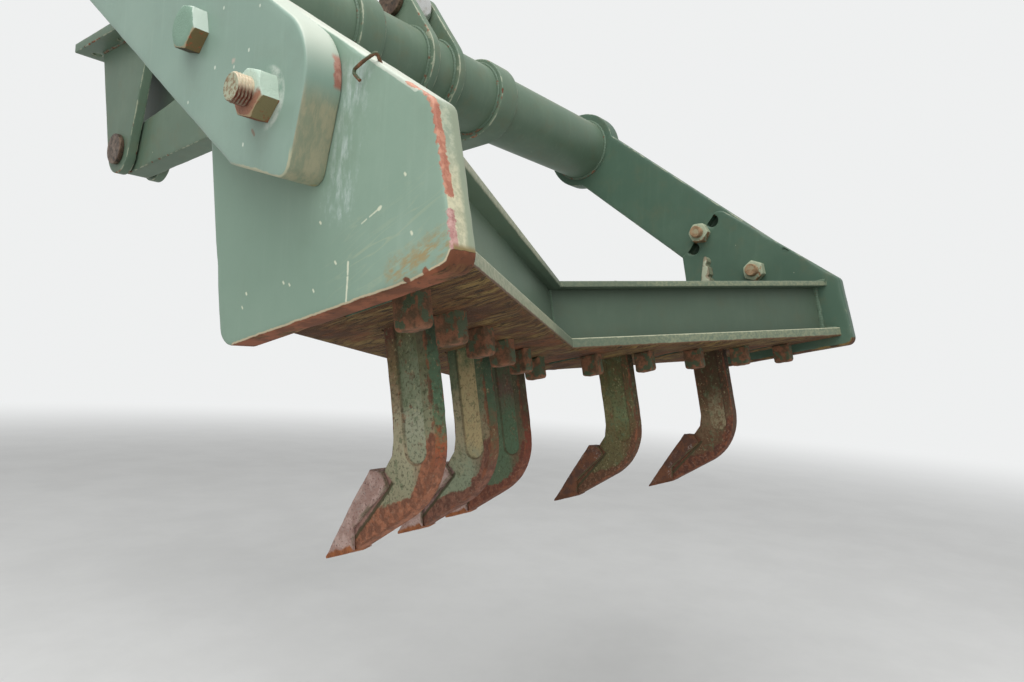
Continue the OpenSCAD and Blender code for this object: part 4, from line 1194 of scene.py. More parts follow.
def shank_finish(name, rust_reach, flecks, wall_shading_share, torn_share, heel_colors, cheek_colors, stops):
    """Remains of paint on forged steel. stops gives, for places below the block, the colours of
    the strip ahead of the recess, of the recess and of the rear face; heel_colors and
    cheek_colors are the deep and the fresh rust of the heel and of the nose beside the tip."""
    f = Finish(name)
    rust = f.group("rust", Deep=srgb(98, 60, 44), Fresh=srgb(136, 82, 56), Size=0.016)
    pink = f.group("rust", Deep=heel_colors[0], Fresh=heel_colors[1], Pits=srgb(76, 50, 40), Size=0.010)
    mauve = f.group("rust", Deep=cheek_colors[0], Fresh=cheek_colors[1], Pits=srgb(84, 58, 50), Size=0.010)
    patch = f.grain(0.030, 5.0, 0.65)
    drawn = f.noise(f.stretched(f.place, 1.0, 1.0, 0.25), 0.010, 5.0, 0.7)
    fine = f.grain(0.0045, 5.0, 0.75)
    facing, fall, ahead, recess = f.facing(), f.mark("fall"), f.mark("ahead"), f.mark("recess")
    blotch = f.grain(0.012, 6.0, 0.72)
    sway = f.plus(f.times(f.less(patch, 0.5), 0.10), f.times(f.less(blotch, 0.5), 0.10))
    down = f.plus(fall, sway)
    down = f.math("DIVIDE", down, SHANK_SPAN)
    falls = [stop[0] / SHANK_SPAN for stop in stops]
    front, hollow, rear = (f.ramp(down, list(zip(falls, colors))) for colors in list(zip(*stops))[1:])
    behind = f.mix(0.5, front, rear)
    color = f.mix(f.between(ahead, 0.030, 0.050), behind, front)
    torn = f.both(f.between(blotch, 0.48, 0.54), torn_share)
    color = f.mix(f.both(f.between(recess, 0.0, -0.003), f.less(1.0, torn)), color, hollow)
    off_side = f.between(f.math("ABSOLUTE", facing[0]), 0.8, 0.5)
    color = f.mix(f.both(off_side, f.between(ahead, 0.070, 0.050)), color, rear)
    on_leg = f.between(fall, 0.20, 0.10)
    color = f.mix(f.both(f.between(blotch, 0.56, 0.60), f.between(drawn, 0.42, 0.54), on_leg, flecks),
                  color, rust["Color"])
    color = f.mix(f.both(f.between(blotch, 0.44, 0.41), f.between(drawn, 0.60, 0.50), flecks), color,
                  srgb(88, 102, 74))
    color = f.mix(f.both(f.between(fine, 0.54, 0.62), flecks), color, srgb(70, 62, 42))
    color = f.mix(f.both(f.between(fine, 0.44, 0.36), f.between(drawn, 0.46, 0.6), flecks), color,
                  srgb(176, 168, 128))
    # Painted shade and highlight on the recess walls: the front wall is painted dark and the rear wall pale
    # cream.
    wall = f.between(f.math("ABSOLUTE", f.plus(recess, 0.0012)), 0.0020, 0.0006)
    lit = f.between(ahead, 0.046, 0.036)
    color = f.mix(f.both(wall, f.between(fall, 0.152, 0.136), wall_shading_share), color,
                  f.mix(lit, srgb(74, 58, 42), srgb(178, 168, 128)))
    heel = f.plus(f.mark("heel"), f.sway(0.016, 0.03, 5.0, 0.7))
    along = f.mark("along_tip")
    heel = f.less(heel, f.both(f.between(along, -0.02, 0.05), 0.014))
    rusty_heel = f.between(heel, rust_reach + 0.002, rust_reach - 0.002)
    speckled = f.mix(f.both(f.between(fine, 0.46, 0.36), 0.28), pink["Color"], srgb(184, 150, 126))
    belly = f.both(off_side, f.between(facing[2], -0.1, -0.35))
    color = f.mix(f.larger(f.both(rusty_heel, f.between(off_side, 1.0, 0.5)), belly), color, speckled)
    above = f.plus(f.mark("above_seam"), f.times(f.less(blotch, 0.5), 0.006))
    above = f.less(above, f.both(f.larger(along, 0.0), 0.12))
    beside_nose = f.both(f.between(along, -0.016, -0.012), f.between(along, 0.100, 0.090))
    color = f.mix(f.both(beside_nose, f.between(above, -0.0005, 0.0008)), color, mauve["Color"])
    seam = f.between(f.math("ABSOLUTE", above), 0.0036, 0.0016)
    color = f.mix(f.both(beside_nose, seam, 0.85), color, srgb(66, 64, 42))
    worn = f.group("edge_wear", Edge=f.edge, Width=0.0028, Ragged=1.1, Size=0.02)["Mask"]
    color = f.mix(f.both(worn, 0.7), color, rust["Color"])
    on_head = f.between(fall, -block_h - 0.016, -block_h - 0.022)
    head = f.mix(off_side, srgb(170, 174, 150), srgb(112, 118, 94))
    color = f.mix(f.both(on_head, f.less(1.0, f.both(worn, 0.5))), color, head)
    height = f.plus(f.both(rust["Height"], f.larger(rusty_heel, worn)), f.both(patch, 0.3))
    height = f.less(height, f.both(f.between(fine, 0.54, 0.66), 0.3))
    return f.done(color, 0.82, height, 0.0012)


SHANK_LOOKS = [
    # reach of the rust from the heel, flecks, share of the painted shade and highlight on the
    # recess walls, how torn the recess's paint is, heel, cheek, then stops: below the block, front strip,
    # recess, rear face
    (0.018, 0.60, 0.3, 0.0, (srgb(122, 80, 60), srgb(160, 104, 76)),
     (srgb(142, 108, 98), srgb(168, 132, 120)), [
        (0.00, srgb(94, 58, 44), srgb(92, 84, 54), srgb(72, 90, 70)),
        (0.05, srgb(114, 98, 66), srgb(104, 114, 88), srgb(76, 98, 74)),
        (0.10, srgb(144, 130, 104), srgb(132, 139, 112), srgb(86, 114, 86)),
        (0.13, srgb(160, 152, 124), srgb(160, 162, 138), srgb(100, 118, 88)),
        (0.16, srgb(166, 160, 132), srgb(150, 154, 128), srgb(160, 88, 56)),
        (0.19, srgb(150, 148, 120), srgb(152, 152, 126), srgb(126, 82, 64)),
        (0.30, srgb(134, 122, 98), srgb(140, 132, 108), srgb(120, 78, 66))]),
    (0.014, 0.50, 0.25, 0.0, (srgb(104, 70, 56), srgb(134, 90, 72)),
     (srgb(122, 96, 90), srgb(148, 118, 110)), [
        (0.00, srgb(66, 82, 60), srgb(84, 96, 66), srgb(58, 76, 56)),
        (0.05, srgb(92, 100, 74), srgb(164, 148, 108), srgb(62, 82, 60)),
        (0.10, srgb(150, 140, 110), srgb(172, 158, 118), srgb(74, 92, 68)),
        (0.15, srgb(160, 150, 120), srgb(184, 166, 124), srgb(116, 84, 58)),
        (0.20, srgb(140, 150, 124), srgb(142, 150, 124), srgb(112, 74, 56)),
        (0.30, srgb(128, 136, 110), srgb(130, 136, 110), srgb(106, 70, 54))]),
    (0.012, 0.45, 0.15, 0.0, (srgb(104, 62, 48), srgb(128, 78, 58)),
     (srgb(110, 82, 74), srgb(130, 98, 88)), [
        (0.00, srgb(74, 84, 62), srgb(72, 84, 60), srgb(70, 66, 46)),
        (0.05, srgb(80, 78, 60), srgb(98, 78, 68), srgb(72, 62, 44)),
        (0.10, srgb(84, 104, 78), srgb(84, 106, 80), srgb(86, 60, 44)),
        (0.15, srgb(88, 110, 84), srgb(88, 112, 86), srgb(120, 62, 46)),
        (0.30, srgb(96, 104, 80), srgb(92, 110, 84), srgb(116, 64, 48))]),
    (0.010, 0.75, 0.0, 0.5, (srgb(84, 58, 40), srgb(106, 72, 50)), (srgb(92, 62, 46), srgb(108, 74, 52)), [
        (0.00, srgb(88, 78, 48), srgb(84, 80, 48), srgb(64, 56, 36)),
        (0.06, srgb(92, 88, 54), srgb(90, 92, 58), srgb(70, 60, 40)),
        (0.11, srgb(116, 112, 76), srgb(110, 120, 84), srgb(76, 62, 44)),
        (0.16, srgb(98, 92, 60), srgb(96, 92, 58), srgb(96, 62, 42)),
        (0.30, srgb(88, 76, 50), srgb(88, 78, 52), srgb(92, 60, 42))]),
    (0.016, 0.60, 0.0, 0.85, (srgb(84, 52, 40), srgb(112, 68, 48)), (srgb(90, 58, 44), srgb(110, 70, 50)), [
        (0.00, srgb(76, 51, 34), srgb(68, 55, 34), srgb(56, 42, 28)),
        (0.08, srgb(73, 53, 34), srgb(69, 57, 36), srgb(59, 43, 29)),
        (0.125, srgb(100, 78, 56), srgb(134, 122, 96), srgb(84, 58, 44)),
        (0.155, srgb(116, 98, 74), srgb(140, 128, 100), srgb(86, 60, 44)),
        (0.20, srgb(96, 70, 50), srgb(88, 70, 50), srgb(84, 58, 42)),
        (0.30, srgb(92, 66, 48), srgb(86, 68, 48), srgb(82, 56, 40))]),
]
shank_finishes = [shank_finish(f"shank_{n + 1}_steel", *look) for n, look in enumerate(SHANK_LOOKS)]

# %% [markdown]
# The tips dig, so their paint is long gone: mauve brown rust with grey speckle, bright orange
# below where it is fresh, and a dark green seam line where the old paint hid behind the cheek.

# %% Tips' finish
def tip_finish(name, deep, fresh, speckle_share, belly_deep, belly_fresh):
    """Rust that is rubbed by stones."""
    f = Finish(name)
    rust = f.group("rust", Deep=deep, Fresh=fresh, Pits=srgb(66, 44, 42), Size=0.02)
    speck = f.grain(0.0035, 5.0, 0.75)
    patch = f.grain(0.03, 4.0, 0.6)
    share = f.times(f.between(speck, 0.50, 0.64),
                    f.between(patch, 0.58 - speckle_share, 0.72 - speckle_share))
    color = f.mix(f.times(share, 0.75), rust["Color"], srgb(160, 150, 142))
    color = f.mix(f.both(f.between(speck, 0.43, 0.36), 0.75), color, srgb(80, 54, 48))
    low = f.mark("low")
    orange = f.group("rust", Deep=belly_deep, Fresh=belly_fresh, Size=0.015)
    wobble = f.times(f.less(patch, 0.5), 0.02)
    color = f.mix(f.between(f.plus(low, wobble), 0.013, 0.008), color, orange["Color"])
    seam = f.mark("seam")
    green = f.between(f.plus(seam, f.times(wobble, 0.4)), 0.0055, 0.002)
    color = f.mix(f.times(green, f.both(f.between(patch, 0.36, 0.54), 0.6)), color, srgb(84, 84, 54))
    height = f.plus(f.times(rust["Height"], 0.8), f.times(speck, 0.5))
    return f.done(color, 0.85, height, 0.0015)


near_tip_rust = tip_finish("near_tip_rust", srgb(162, 131, 121), srgb(188, 160, 150), 0.20,
                           srgb(134, 80, 48), srgb(160, 98, 58))
far_tip_rust = tip_finish("far_tip_rust", srgb(86, 60, 48), srgb(112, 72, 50), 0.06, srgb(92, 60, 42),
                          srgb(112, 70, 46))
print("teeth:", [m.name for m in shank_finishes], near_tip_rust.name, far_tip_rust.name)

# %% [markdown]
# Lugs, nuts and bolts are rusty with remains of paint on what faces up. Pins are greasy, and the
# rod is hard chrome with a film of dust.

# %% Small parts' finishes
def rusty(name, deep, fresh, green, green_share, size=0.02):
    """Rust with paint left where the noise and the upward slope agree."""
    f = Finish(name)
    rust = f.group("rust", Deep=deep, Fresh=fresh, Size=size)
    patch = f.plus(f.grain(0.018, 5.0, 0.65), f.times(f.facing()[2], 0.16))
    kept = f.between(patch, 0.66 - green_share, 0.7 - green_share)
    worn = f.group("edge_wear", Edge=f.edge, Width=0.0022, Ragged=0.8, Size=0.01)["Mask"]
    kept = f.times(kept, f.less(1.0, worn))
    color = f.mix(kept, rust["Color"], green)
    color = f.mix(f.group("dust", Amount=0.3)["Mask"], color, srgb(150, 136, 108))
    return f.done(color, f.less(0.88, f.times(kept, 0.3)), rust["Height"], 0.0012)


lug_rust = rusty("lug_rust", srgb(92, 72, 52), srgb(132, 90, 66), srgb(74, 84, 60), 0.15, 0.012)
far_nut_rust = rusty("far_nut_rust", srgb(128, 104, 78), srgb(150, 112, 78), srgb(158, 166, 140), 0.28,
                     0.012)
far_thread_rust = rusty("far_thread_rust", srgb(134, 108, 80), srgb(158, 130, 100), srgb(150, 140, 112),
                        0.10, 0.010)
hidden_rust = rusty("hidden_rust", srgb(104, 72, 50), srgb(134, 92, 62), srgb(116, 132, 106), 0.14, 0.014)
bead_paint = rusty("bead_paint", srgb(96, 72, 54), srgb(126, 92, 68), srgb(84, 104, 86), 0.30, 0.012)


def bolt_finish(name, axis_z, face, face_low, facet, facet_right, facet_low, rust_spot):
    """Paint on a hexagon: the outer face turns from one colour to another below the axis, and the
    facets are told apart by how far they face down."""
    f = Finish(name)
    facing, spot = f.facing(), f.spot()
    cloud = f.grain(0.009, 5.0, 0.65)
    fine = f.grain(0.003, 4.0, 0.7)
    sway = f.times(f.less(cloud, 0.5), 0.012)
    above = f.plus(f.less(spot[2], axis_z), sway)
    color = f.mix(f.between(above, -0.006, 0.001), face_low, face)
    color = f.mix(f.both(f.between(fine, 0.54, 0.68), f.between(above, 0.002, -0.006), 0.6), color,
                  srgb(92, 60, 46))
    turned_off = f.between(facing[0], 0.85, 0.6)
    below = f.mix(f.between(cloud, 0.54, 0.62), facet_right, rust_spot)
    side = f.mix(f.between(facing[2], -0.15, -0.4), facet, below)
    side = f.mix(f.between(facing[2], -0.82, -0.92), side, facet_low)
    color = f.mix(turned_off, color, side)
    arris = f.both(f.between(facing[0], 0.95, 0.85), f.between(facing[0], 0.45, 0.6),
                   f.between(facing[2], -0.05, -0.25))
    color = f.mix(f.both(arris, 0.6), color, srgb(176, 156, 122))
    return f.done(color, 0.7, f.plus(f.both(cloud, 0.5), fine), 0.0008)


pitch_z = pivot_z + pitch_r * math.sin(math.radians(arm_rise))
near_nut_paint = bolt_finish("near_nut_paint", pivot_z, srgb(180, 200, 184), srgb(146, 104, 82),
                             srgb(184, 202, 186), srgb(122, 112, 78), srgb(110, 64, 34), srgb(132, 78, 52))
near_head_paint = bolt_finish("near_head_paint", pitch_z - 0.04, srgb(122, 150, 132), srgb(112, 138, 120),
                              srgb(196, 210, 198), srgb(112, 96, 62), srgb(64, 58, 38), srgb(150, 82, 52))

f = Finish("near_thread_rust")
facing = f.facing()
fine = f.grain(0.004, 5.0, 0.7)
side = f.mix(f.between(facing[2], -0.35, 0.15), srgb(98, 50, 34), srgb(208, 192, 166))
end_face = f.mix(f.between(fine, 0.44, 0.62), srgb(166, 170, 146), srgb(132, 110, 84))
near_thread_rust = f.done(f.mix(f.between(facing[0], 0.6, 0.85), side, end_face), 0.8, fine, 0.0006)

f = Finish("greasy_pin")
rust = f.group("rust", Deep=srgb(78, 62, 50), Fresh=srgb(110, 92, 76), Pits=srgb(40, 34, 30))
smear = f.grain(0.012, 4.0, 0.6)
greasy_pin = f.done(f.mix(f.between(smear, 0.5, 0.65), rust["Color"], srgb(58, 52, 44)),
                    f.plus(f.times(smear, 0.5), 0.2), rust["Height"], 0.0006, metallic=0.5)

f = Finish("hard_chrome")
film = f.noise(f.stretched(f.place, 1.0, 0.2, 1.0), 0.02, 5.0, 0.65)
lines = f.noise(f.stretched(f.place, 1.0, 0.02, 1.0), 0.003, 3.0, 0.6)
chrome_color = f.mix(f.between(film, 0.45, 0.8), srgb(196, 197, 194), srgb(150, 142, 126))
hard_chrome = f.done(chrome_color, f.plus(f.times(film, 0.3), 0.1), lines, 0.0001,
                     metallic=0.9, specular=0.5)
print("finishes:", len(bpy.data.materials))

# %% [markdown]
# ## The piece itself
# The end plates come first, because everything is bolted or welded to them. Their outline is five
# corners with radii. Three pitch holes lie on an arc about the pivot bolt, so the block's angle can
# be changed.

# %% End plates
plate_l, plate_rear_h, plate_top_h, plate_top_ahead, plate_nose_h = 0.375, 0.153, 0.404, 0.257, 0.302
plate_lean, plate_r, plate_small_r, pitch_step = 0.0045, 0.026, 0.017, 13.5
pivot_bolt_d, pitch_bolt_d, bolt_gap = 0.030, 0.030, 0.0005

end_plate_outline = rounded([
    [0, 0, plate_small_r], [-plate_lean, plate_rear_h, plate_small_r],
    [-plate_top_ahead, plate_top_h, plate_r], [-plate_l + plate_lean, plate_nose_h, plate_lean],
    [-plate_l, 0, plate_r]])
pivot_hole = circle([-pivot_ahead, pivot_up], pivot_bolt_d / 2 + bolt_gap)
pitch_angles = np.radians(pitch_mid + pitch_step * np.arange(-1, 2))
pitch_holes = [circle([-pivot_ahead - pitch_r * math.cos(a), pivot_up + pitch_r * math.sin(a)],
                      pitch_bolt_d / 2 + bolt_gap) for a in pitch_angles]
plate_lines = {
    "rear": [[0.0, plate_small_r], [-plate_lean, plate_rear_h - 0.005], [-0.03, plate_rear_h + 0.024]],
    "low": [[-plate_l + plate_r, 0.0], [-plate_small_r, 0.0], [-0.006, 0.003], [-0.001, 0.011]],
    "top": [[-0.022, 0.169], [-plate_top_ahead + 0.02, plate_top_h - 0.015]],
}


def end_plate(side):
    """One end plate; side is 1 on the machine's left."""
    x = sorted([side * inner_x, side * block_w / 2])
    return plate(end_plate_outline, x[0], x[1], in_block, [pivot_hole, *pitch_holes],
                 r=0.003, wear=1.4, step=0.006, lines=plate_lines)


piece("end_plate_left_steel", end_plate(1), near_plate_paint, ["end_plate_left"])
piece("end_plate_right_steel", end_plate(-1), far_plate_paint, ["end_plate_right"])
print("end plates:", made)

# %% [markdown]
# The arms lie outside the end plates. Each has a chamfered foot, a large rounded heel and a round
# rim about the cross tube at its upper end. A boolean of strap and disc would give the outline;
# one closed line of corners and an arc gives it without a seam.

# %% Arms
arm_w, arm_foot, arm_foot_start, arm_chamfer = 0.164, 0.084, 0.018, 0.036
arm_heel_r, arm_heel, arm_foot_r, arm_rim, seat_gap = 0.075, 0.034, 0.015, 0.024, 0.0001

half_w, end_r = arm_w / 2, tube_d / 2 + arm_rim
opening = math.degrees(math.asin(half_w / end_r))
end_x = arm_l - end_r * math.cos(math.radians(opening))
arm_outline = np.concatenate([
    rounded([[end_x, -half_w, 0], [arm_foot_start, -half_w, arm_foot_r],
             [-arm_foot, arm_chamfer - half_w, arm_foot_r], [-arm_heel, half_w, arm_heel_r],
             [end_x, half_w, 0]]),
    arc([arm_l, 0], end_r, 180 - opening, opening - 180)])
arm_holes = [circle([0, 0], pivot_bolt_d / 2 + bolt_gap), circle([pitch_r, 0], pitch_bolt_d / 2 + bolt_gap)]


def arm(side):
    """One arm, outside its end plate."""
    x = sorted([side * block_w / 2, side * (block_w / 2 + arm_t)])
    return plate(arm_outline, x[0], x[1], in_arm, arm_holes, r=0.0025, wear=1.0, step=0.008)


piece("arm_left_steel", arm(1), near_arm_paint, ["arm_left"])
piece("arm_right_steel", arm(-1), shaded_paint, ["arm_right"])
print("arms:", made["arm_left_steel"], "triangles each")

# %% [markdown]
# The block is two bars on each side, bent into a V at the middle of the machine. The rear one is a
# channel that opens to the rear. A bar is its section carried across the machine: at each station
# the section moves ahead by the V's line, so all stations are one grid.

# %% Bars of the block
def bar(section, side, r=0.003, step=0.005, stations=90):
    """A section given as [ahead, up, radius] corners, carried from the middle to the end plate:
    y = -(ahead + vee(x)). Its ends are filled, and edge is the distance to the nearest corner
    that stands proud."""
    loop = turning(spaced(rounded([[x, y, q * r] for x, y, q in section], 22), step), 1)
    x = side * np.linspace(0, inner_x, stations)
    ahead = loop[None, :, 0] + vee(x)[:, None]
    points = np.stack([np.broadcast_to(x[:, None], ahead.shape), -ahead,
                       np.broadcast_to(loop[:, 1], ahead.shape)], -1)
    count = points.shape[0] * points.shape[1]
    parts = [points.reshape(-1, 3)]
    faces = [grid_faces(*points.shape[:2], wrap=True)]
    flat, cap = filled([loop], 0.02)
    for end in (x[0], x[-1]):
        parts.append(np.column_stack([np.full(len(flat), end), -(flat[:, 0] + vee(end)), flat[:, 1]]))
        faces.append(cap + count)
        count += len(flat)
    proud = np.array([[px, py] for px, py, q in section if q > 0])
    both = np.concatenate([np.tile(loop, (stations, 1)), flat, flat])
    edge = np.linalg.norm(both[:, None] - proud, axis=2).min(1)
    return Surface(in_block(np.concatenate(parts)), faces, edge=edge, up=both[:, 1] - block_lift)


rear_web, front_web = rear_edge + rear_channel, front_edge - front_channel
rear_section = [
    (rear_edge, block_lift, 1), (spacer_from, block_lift, 0.2), (spacer_from, block_top, 0.5),
    (rear_edge + top_setback, block_top, 0.8), (rear_edge + top_setback, block_top - top_t, 0.6),
    (rear_web, block_top - top_t, 0), (rear_web, block_lift + bottom_t, 0),
    (rear_edge, block_lift + bottom_t, 1)]
front_section = [
    (spacer_to, block_lift, 0.2), (front_edge, block_lift, 1), (front_edge, block_lift + bottom_t, 1),
    (front_web, block_lift + bottom_t, 0), (front_web, block_top - top_t, 0),
    (front_edge - top_setback, block_top - top_t, 0.6), (front_edge - top_setback, block_top, 0.8),
    (spacer_to, block_top, 0.5)]
for label, side in (("left", 1), ("right", -1)):
    piece(f"rear_bar_{label}_steel", bar(rear_section, side), bar_paint,
          [f"rear_bar_{label}"])
    piece(f"front_bar_{label}_steel", bar(front_section, side), front_bar_paint,
          [f"front_bar_{label}"])
print("bars:", made["rear_bar_left_steel"], "triangles each")

# %% [markdown]
# Twelve spacers between the bars leave the pockets open, and a lug hangs under the block behind
# each pocket. Both are small plates, made in one loop each and joined, because they never move
# against each other.

# %% Spacers and lugs
def spacer(x0, x1):
    """A block between two pockets, its sides following the V."""
    outline = np.array([[-vee(x0) - spacer_from, x0], [-vee(x1) - spacer_from, x1],
                        [-vee(x1) - spacer_to, x1], [-vee(x0) - spacer_to, x0]])

    heights = {}

    def place(points):
        up, rearward, x = points.T
        heights["up"] = up - block_lift
        return in_block(np.stack([x, rearward, up], 1))
    solid = plate(outline, block_lift, block_top, place, r=0.0012, wear=0.8, step=0.012)
    solid.marks.update(heights)
    return solid


spacers = []
for i in range(pockets_a_side + 1):
    x0 = i * pocket_pitch + slot_w / 2
    x1 = (i + 1) * pocket_pitch - slot_w / 2 if i < pockets_a_side else inner_x
    spacers += [spacer(x0, x1), spacer(-x1, -x0)]
piece("pocket_spacers_steel", joined(spacers), front_bar_paint, ["pocket_spacers"])

lug_h, lug_d, lug_r, lug_back = 0.043, 0.040, 0.008, 0.004
lug_ahead = spacer_from - lug_d - lug_back


def lug(i):
    """A cast lug with soft arrises, in the block's frame."""
    x = i * pocket_pitch
    back = -vee(x) - lug_ahead
    outline = rounded([[back, block_lift, 0], [back, block_lift - lug_h, lug_r],
                       [back - lug_d, block_lift - lug_h, lug_r], [back - lug_d, block_lift, 0]], 15)
    return plate(outline, x - shank_t / 2, x + shank_t / 2, in_block, r=0.0035, wear=0.9, step=0.005)


lugs = joined([lug(i) for i in range(-pockets_a_side, pockets_a_side + 1)])
piece("pocket_lugs_steel", lugs, lug_rust, ["pocket_lugs"], dent=0.0022, dent_size=0.012)
print("spacers and lugs:", made["pocket_spacers_steel"], made["pocket_lugs_steel"])

# %% [markdown]
# Years of earth have dried onto the underside. It could be a displaced copy of the steel, but it
# also covers the seams between the bars, so it is a sheet of its own: one grid across the block,
# left out over the pockets, whose thickness is a noise stretched fore and aft.

# %% Dried soil under the block
SHEET_STEP = 0.005
margin, buried, thickest = 0.004, 0.0006, 0.0055


def stations(stops):
    """Places through all stops, at most a step apart."""
    parts = [np.linspace(a, b, max(1, math.ceil((b - a) / SHEET_STEP)), endpoint=False)
             for a, b in zip(stops, stops[1:])]
    return np.concatenate([*parts, stops[-1:]])


pocket_walls = [i * pocket_pitch + way * slot_w / 2
                for i in range(-pockets_a_side, pockets_a_side + 1) for way in (-1, 1)]
sheet_x = stations([-inner_x + margin, *pocket_walls, inner_x - margin])
sheet_q = stations([rear_edge + margin, spacer_from, spacer_to, front_edge - margin])
x, q = np.meshgrid(sheet_x, sheet_q, indexing="ij")
middle_x = (x[1:, 1:] + x[:-1, 1:]) / 2
middle_q = (q[1:, 1:] + q[1:, :-1]) / 2
off_pocket = np.abs(middle_x / pocket_pitch - np.round(middle_x / pocket_pitch)) * pocket_pitch
open_cell = (off_pocket < slot_w / 2) & (middle_q > spacer_from) & (middle_q < spacer_to)
place_in_block = np.stack([x.ravel(), -(q.ravel() + vee(x.ravel())), np.full(x.size, block_lift)], 1)
drawn = place_in_block * [1.0, 0.13, 1.0]
ridge = np.clip(1.6 * rough(drawn, 0.016) - 0.35, 0, 1)
clod = np.clip(rough(place_in_block, 0.07) * 1.8 - 0.4, 0, 1)
thickness = thickest * (0.15 + 0.85 * ridge) * clod
fore_aft = np.minimum(q - sheet_q[0], sheet_q[-1] - q).ravel()
from_pocket = np.abs(x / pocket_pitch - np.round(x / pocket_pitch)).ravel() * pocket_pitch - slot_w / 2
beside = (q.ravel() > spacer_from - 1e-6) & (q.ravel() < spacer_to + 1e-6)
to_rim = np.minimum(fore_aft, inner_x - margin - np.abs(x).ravel())
to_rim = np.where(beside, np.minimum(to_rim, np.abs(from_pocket)), to_rim)
thickness = np.where(to_rim < 1e-6, -buried, thickness * np.clip(to_rim / 0.008, 0.2, 1))
quads = grid_faces(*x.shape)[~open_cell.ravel()]
below = place_in_block - np.stack([0 * thickness, 0 * thickness, thickness], 1)
above = place_in_block + np.array([0, 0, buried])
soil_sheet = joined([Surface(in_block(below), [quads]), Surface(in_block(above), [quads[:, ::-1]])])
used = np.unique(np.concatenate([f.ravel() for f in soil_sheet.faces]))
renumber = np.full(len(soil_sheet.points), -1)
renumber[used] = np.arange(len(used))
soil_sheet = Surface(soil_sheet.points[used], [renumber[f] for f in soil_sheet.faces])
piece("underside_soil", soil_sheet, dried_soil)
print("soil:", made["underside_soil"], "triangles, up to", round(thickness.max() * 1000, 1), "mm thick")

# %% [markdown]
# A shank is the part that takes the most skill: a forged leg with a long recess in each side, a
# round heel and a nose that its tip sits on. The recess could be a boolean; here two crease lines
# in the net of each face hold the wall of the recess, and a function sinks the points inside.

# %% Shanks
shank_leg, heel_r, shank_stub, head_h, head_w, head_top_w = 0.140, 0.110, 0.030, 0.057, 0.024, 0.010
head_round_share, head_round, notch_depth, flank_share = 0.88, 0.003, 0.004, 0.35
NOTCHES = [(0.52, 0.28), (0.07, 0.19)]
recess_depth, recess_w, recess_back = 0.003, 0.039, 0.0365
tip_slope, tip_l, tip_h, tip_ahead, tip_below = 44.0, 0.165, 0.042, 0.122, 0.036
tip_point_w, tip_skin, tip_cheek, nose_in, tip_gap = 0.026, 0.018, 0.006, 0.104, 0.0003
nose_behind, tip_end, cheek_run, cheek_drop = 0.038, tip_l - 0.002, 0.022, 0.006
POCKETS = [4, 2, 0, -2, -4]
HEADS = [0, 0, 0, 0, head_h]


def on_tip(along, up):
    """A place in the tooth's plane, given along the tip's upper face and square to it."""
    cos, sin = math.cos(math.radians(tip_slope)), math.sin(math.radians(tip_slope))
    return np.array([tip_ahead + along * cos + up * sin, -shank_leg - tip_below - along * sin + up * cos])


def shank_outline(head):
    """Leg, heel arc, straight belly that leaves the arc as its tangent, nose and neck."""
    centre, low = np.array([heel_r, -shank_leg]), on_tip(nose_in, -tip_h)
    away = low - centre
    touch = math.degrees(math.atan2(away[1], away[0]) - math.acos(heel_r / np.linalg.norm(away))) + 360
    top = block_h + shank_stub
    if head:
        high = top + head * head_round_share
        corners = [[shank_d, top - 0.006, 0], [shank_d, top, 0.004], [head_w, top, 0.003],
                   [head_top_w, high, 0.002], [head_top_w - head_round, top + head, 0.001],
                   [head_round, top + head, 0.001], [0, high, 0.002]]
        for start, length in NOTCHES:
            flank = length * flank_share
            corners += [[0, top + head * (start + length - flank / 5), 0],
                        [notch_depth, top + head * (start + length - flank), 0],
                        [notch_depth, top + head * (start + flank), 0],
                        [0, top + head * (start + flank / 5), 0]]
        upper = rounded(corners + [[0, top - 0.01, 0]])
    else:
        upper = rounded([[shank_d, top - 0.006, 0], [shank_d, top, 0.004], [0, top, 0.004],
                         [0, top - 0.006, 0]])
    front = rounded([on_tip(-nose_behind - 0.002, -tip_skin).tolist() + [0],
                     on_tip(-nose_behind, -tip_skin).tolist() + [0],
                     [shank_d, -shank_leg, 0.03], [shank_d, -shank_leg + 0.03, 0]])[1:]
    return np.concatenate([upper, arc(centre, heel_r, 180, touch), [low, on_tip(nose_in, -tip_skin)],
                           front])


recess_low, recess_high = -shank_leg - recess_w / 2, block_h - recess_w / 2
recess_line = np.array([[recess_back, recess_low], [recess_back, recess_high]])


def recess_ring(outside):
    """The recess's outline, moved outwards."""
    r = recess_w / 2 + outside
    return np.concatenate([arc(recess_line[1], r, 0, 180, 12), arc(recess_line[0], r, 180, 360, 12)])


def sunk(points):
    """Both faces sink by the recess's depth, over a wall 3 mm wide."""
    gap = distance_to(points[:, 1:], recess_line, closed=False) - recess_w / 2
    depth = recess_depth * np.clip((0.0005 - gap) / 0.003, 0, 1)
    moved = points.copy()
    moved[:, 0] -= np.sign(points[:, 0]) * np.minimum(depth, np.abs(points[:, 0]))
    return moved


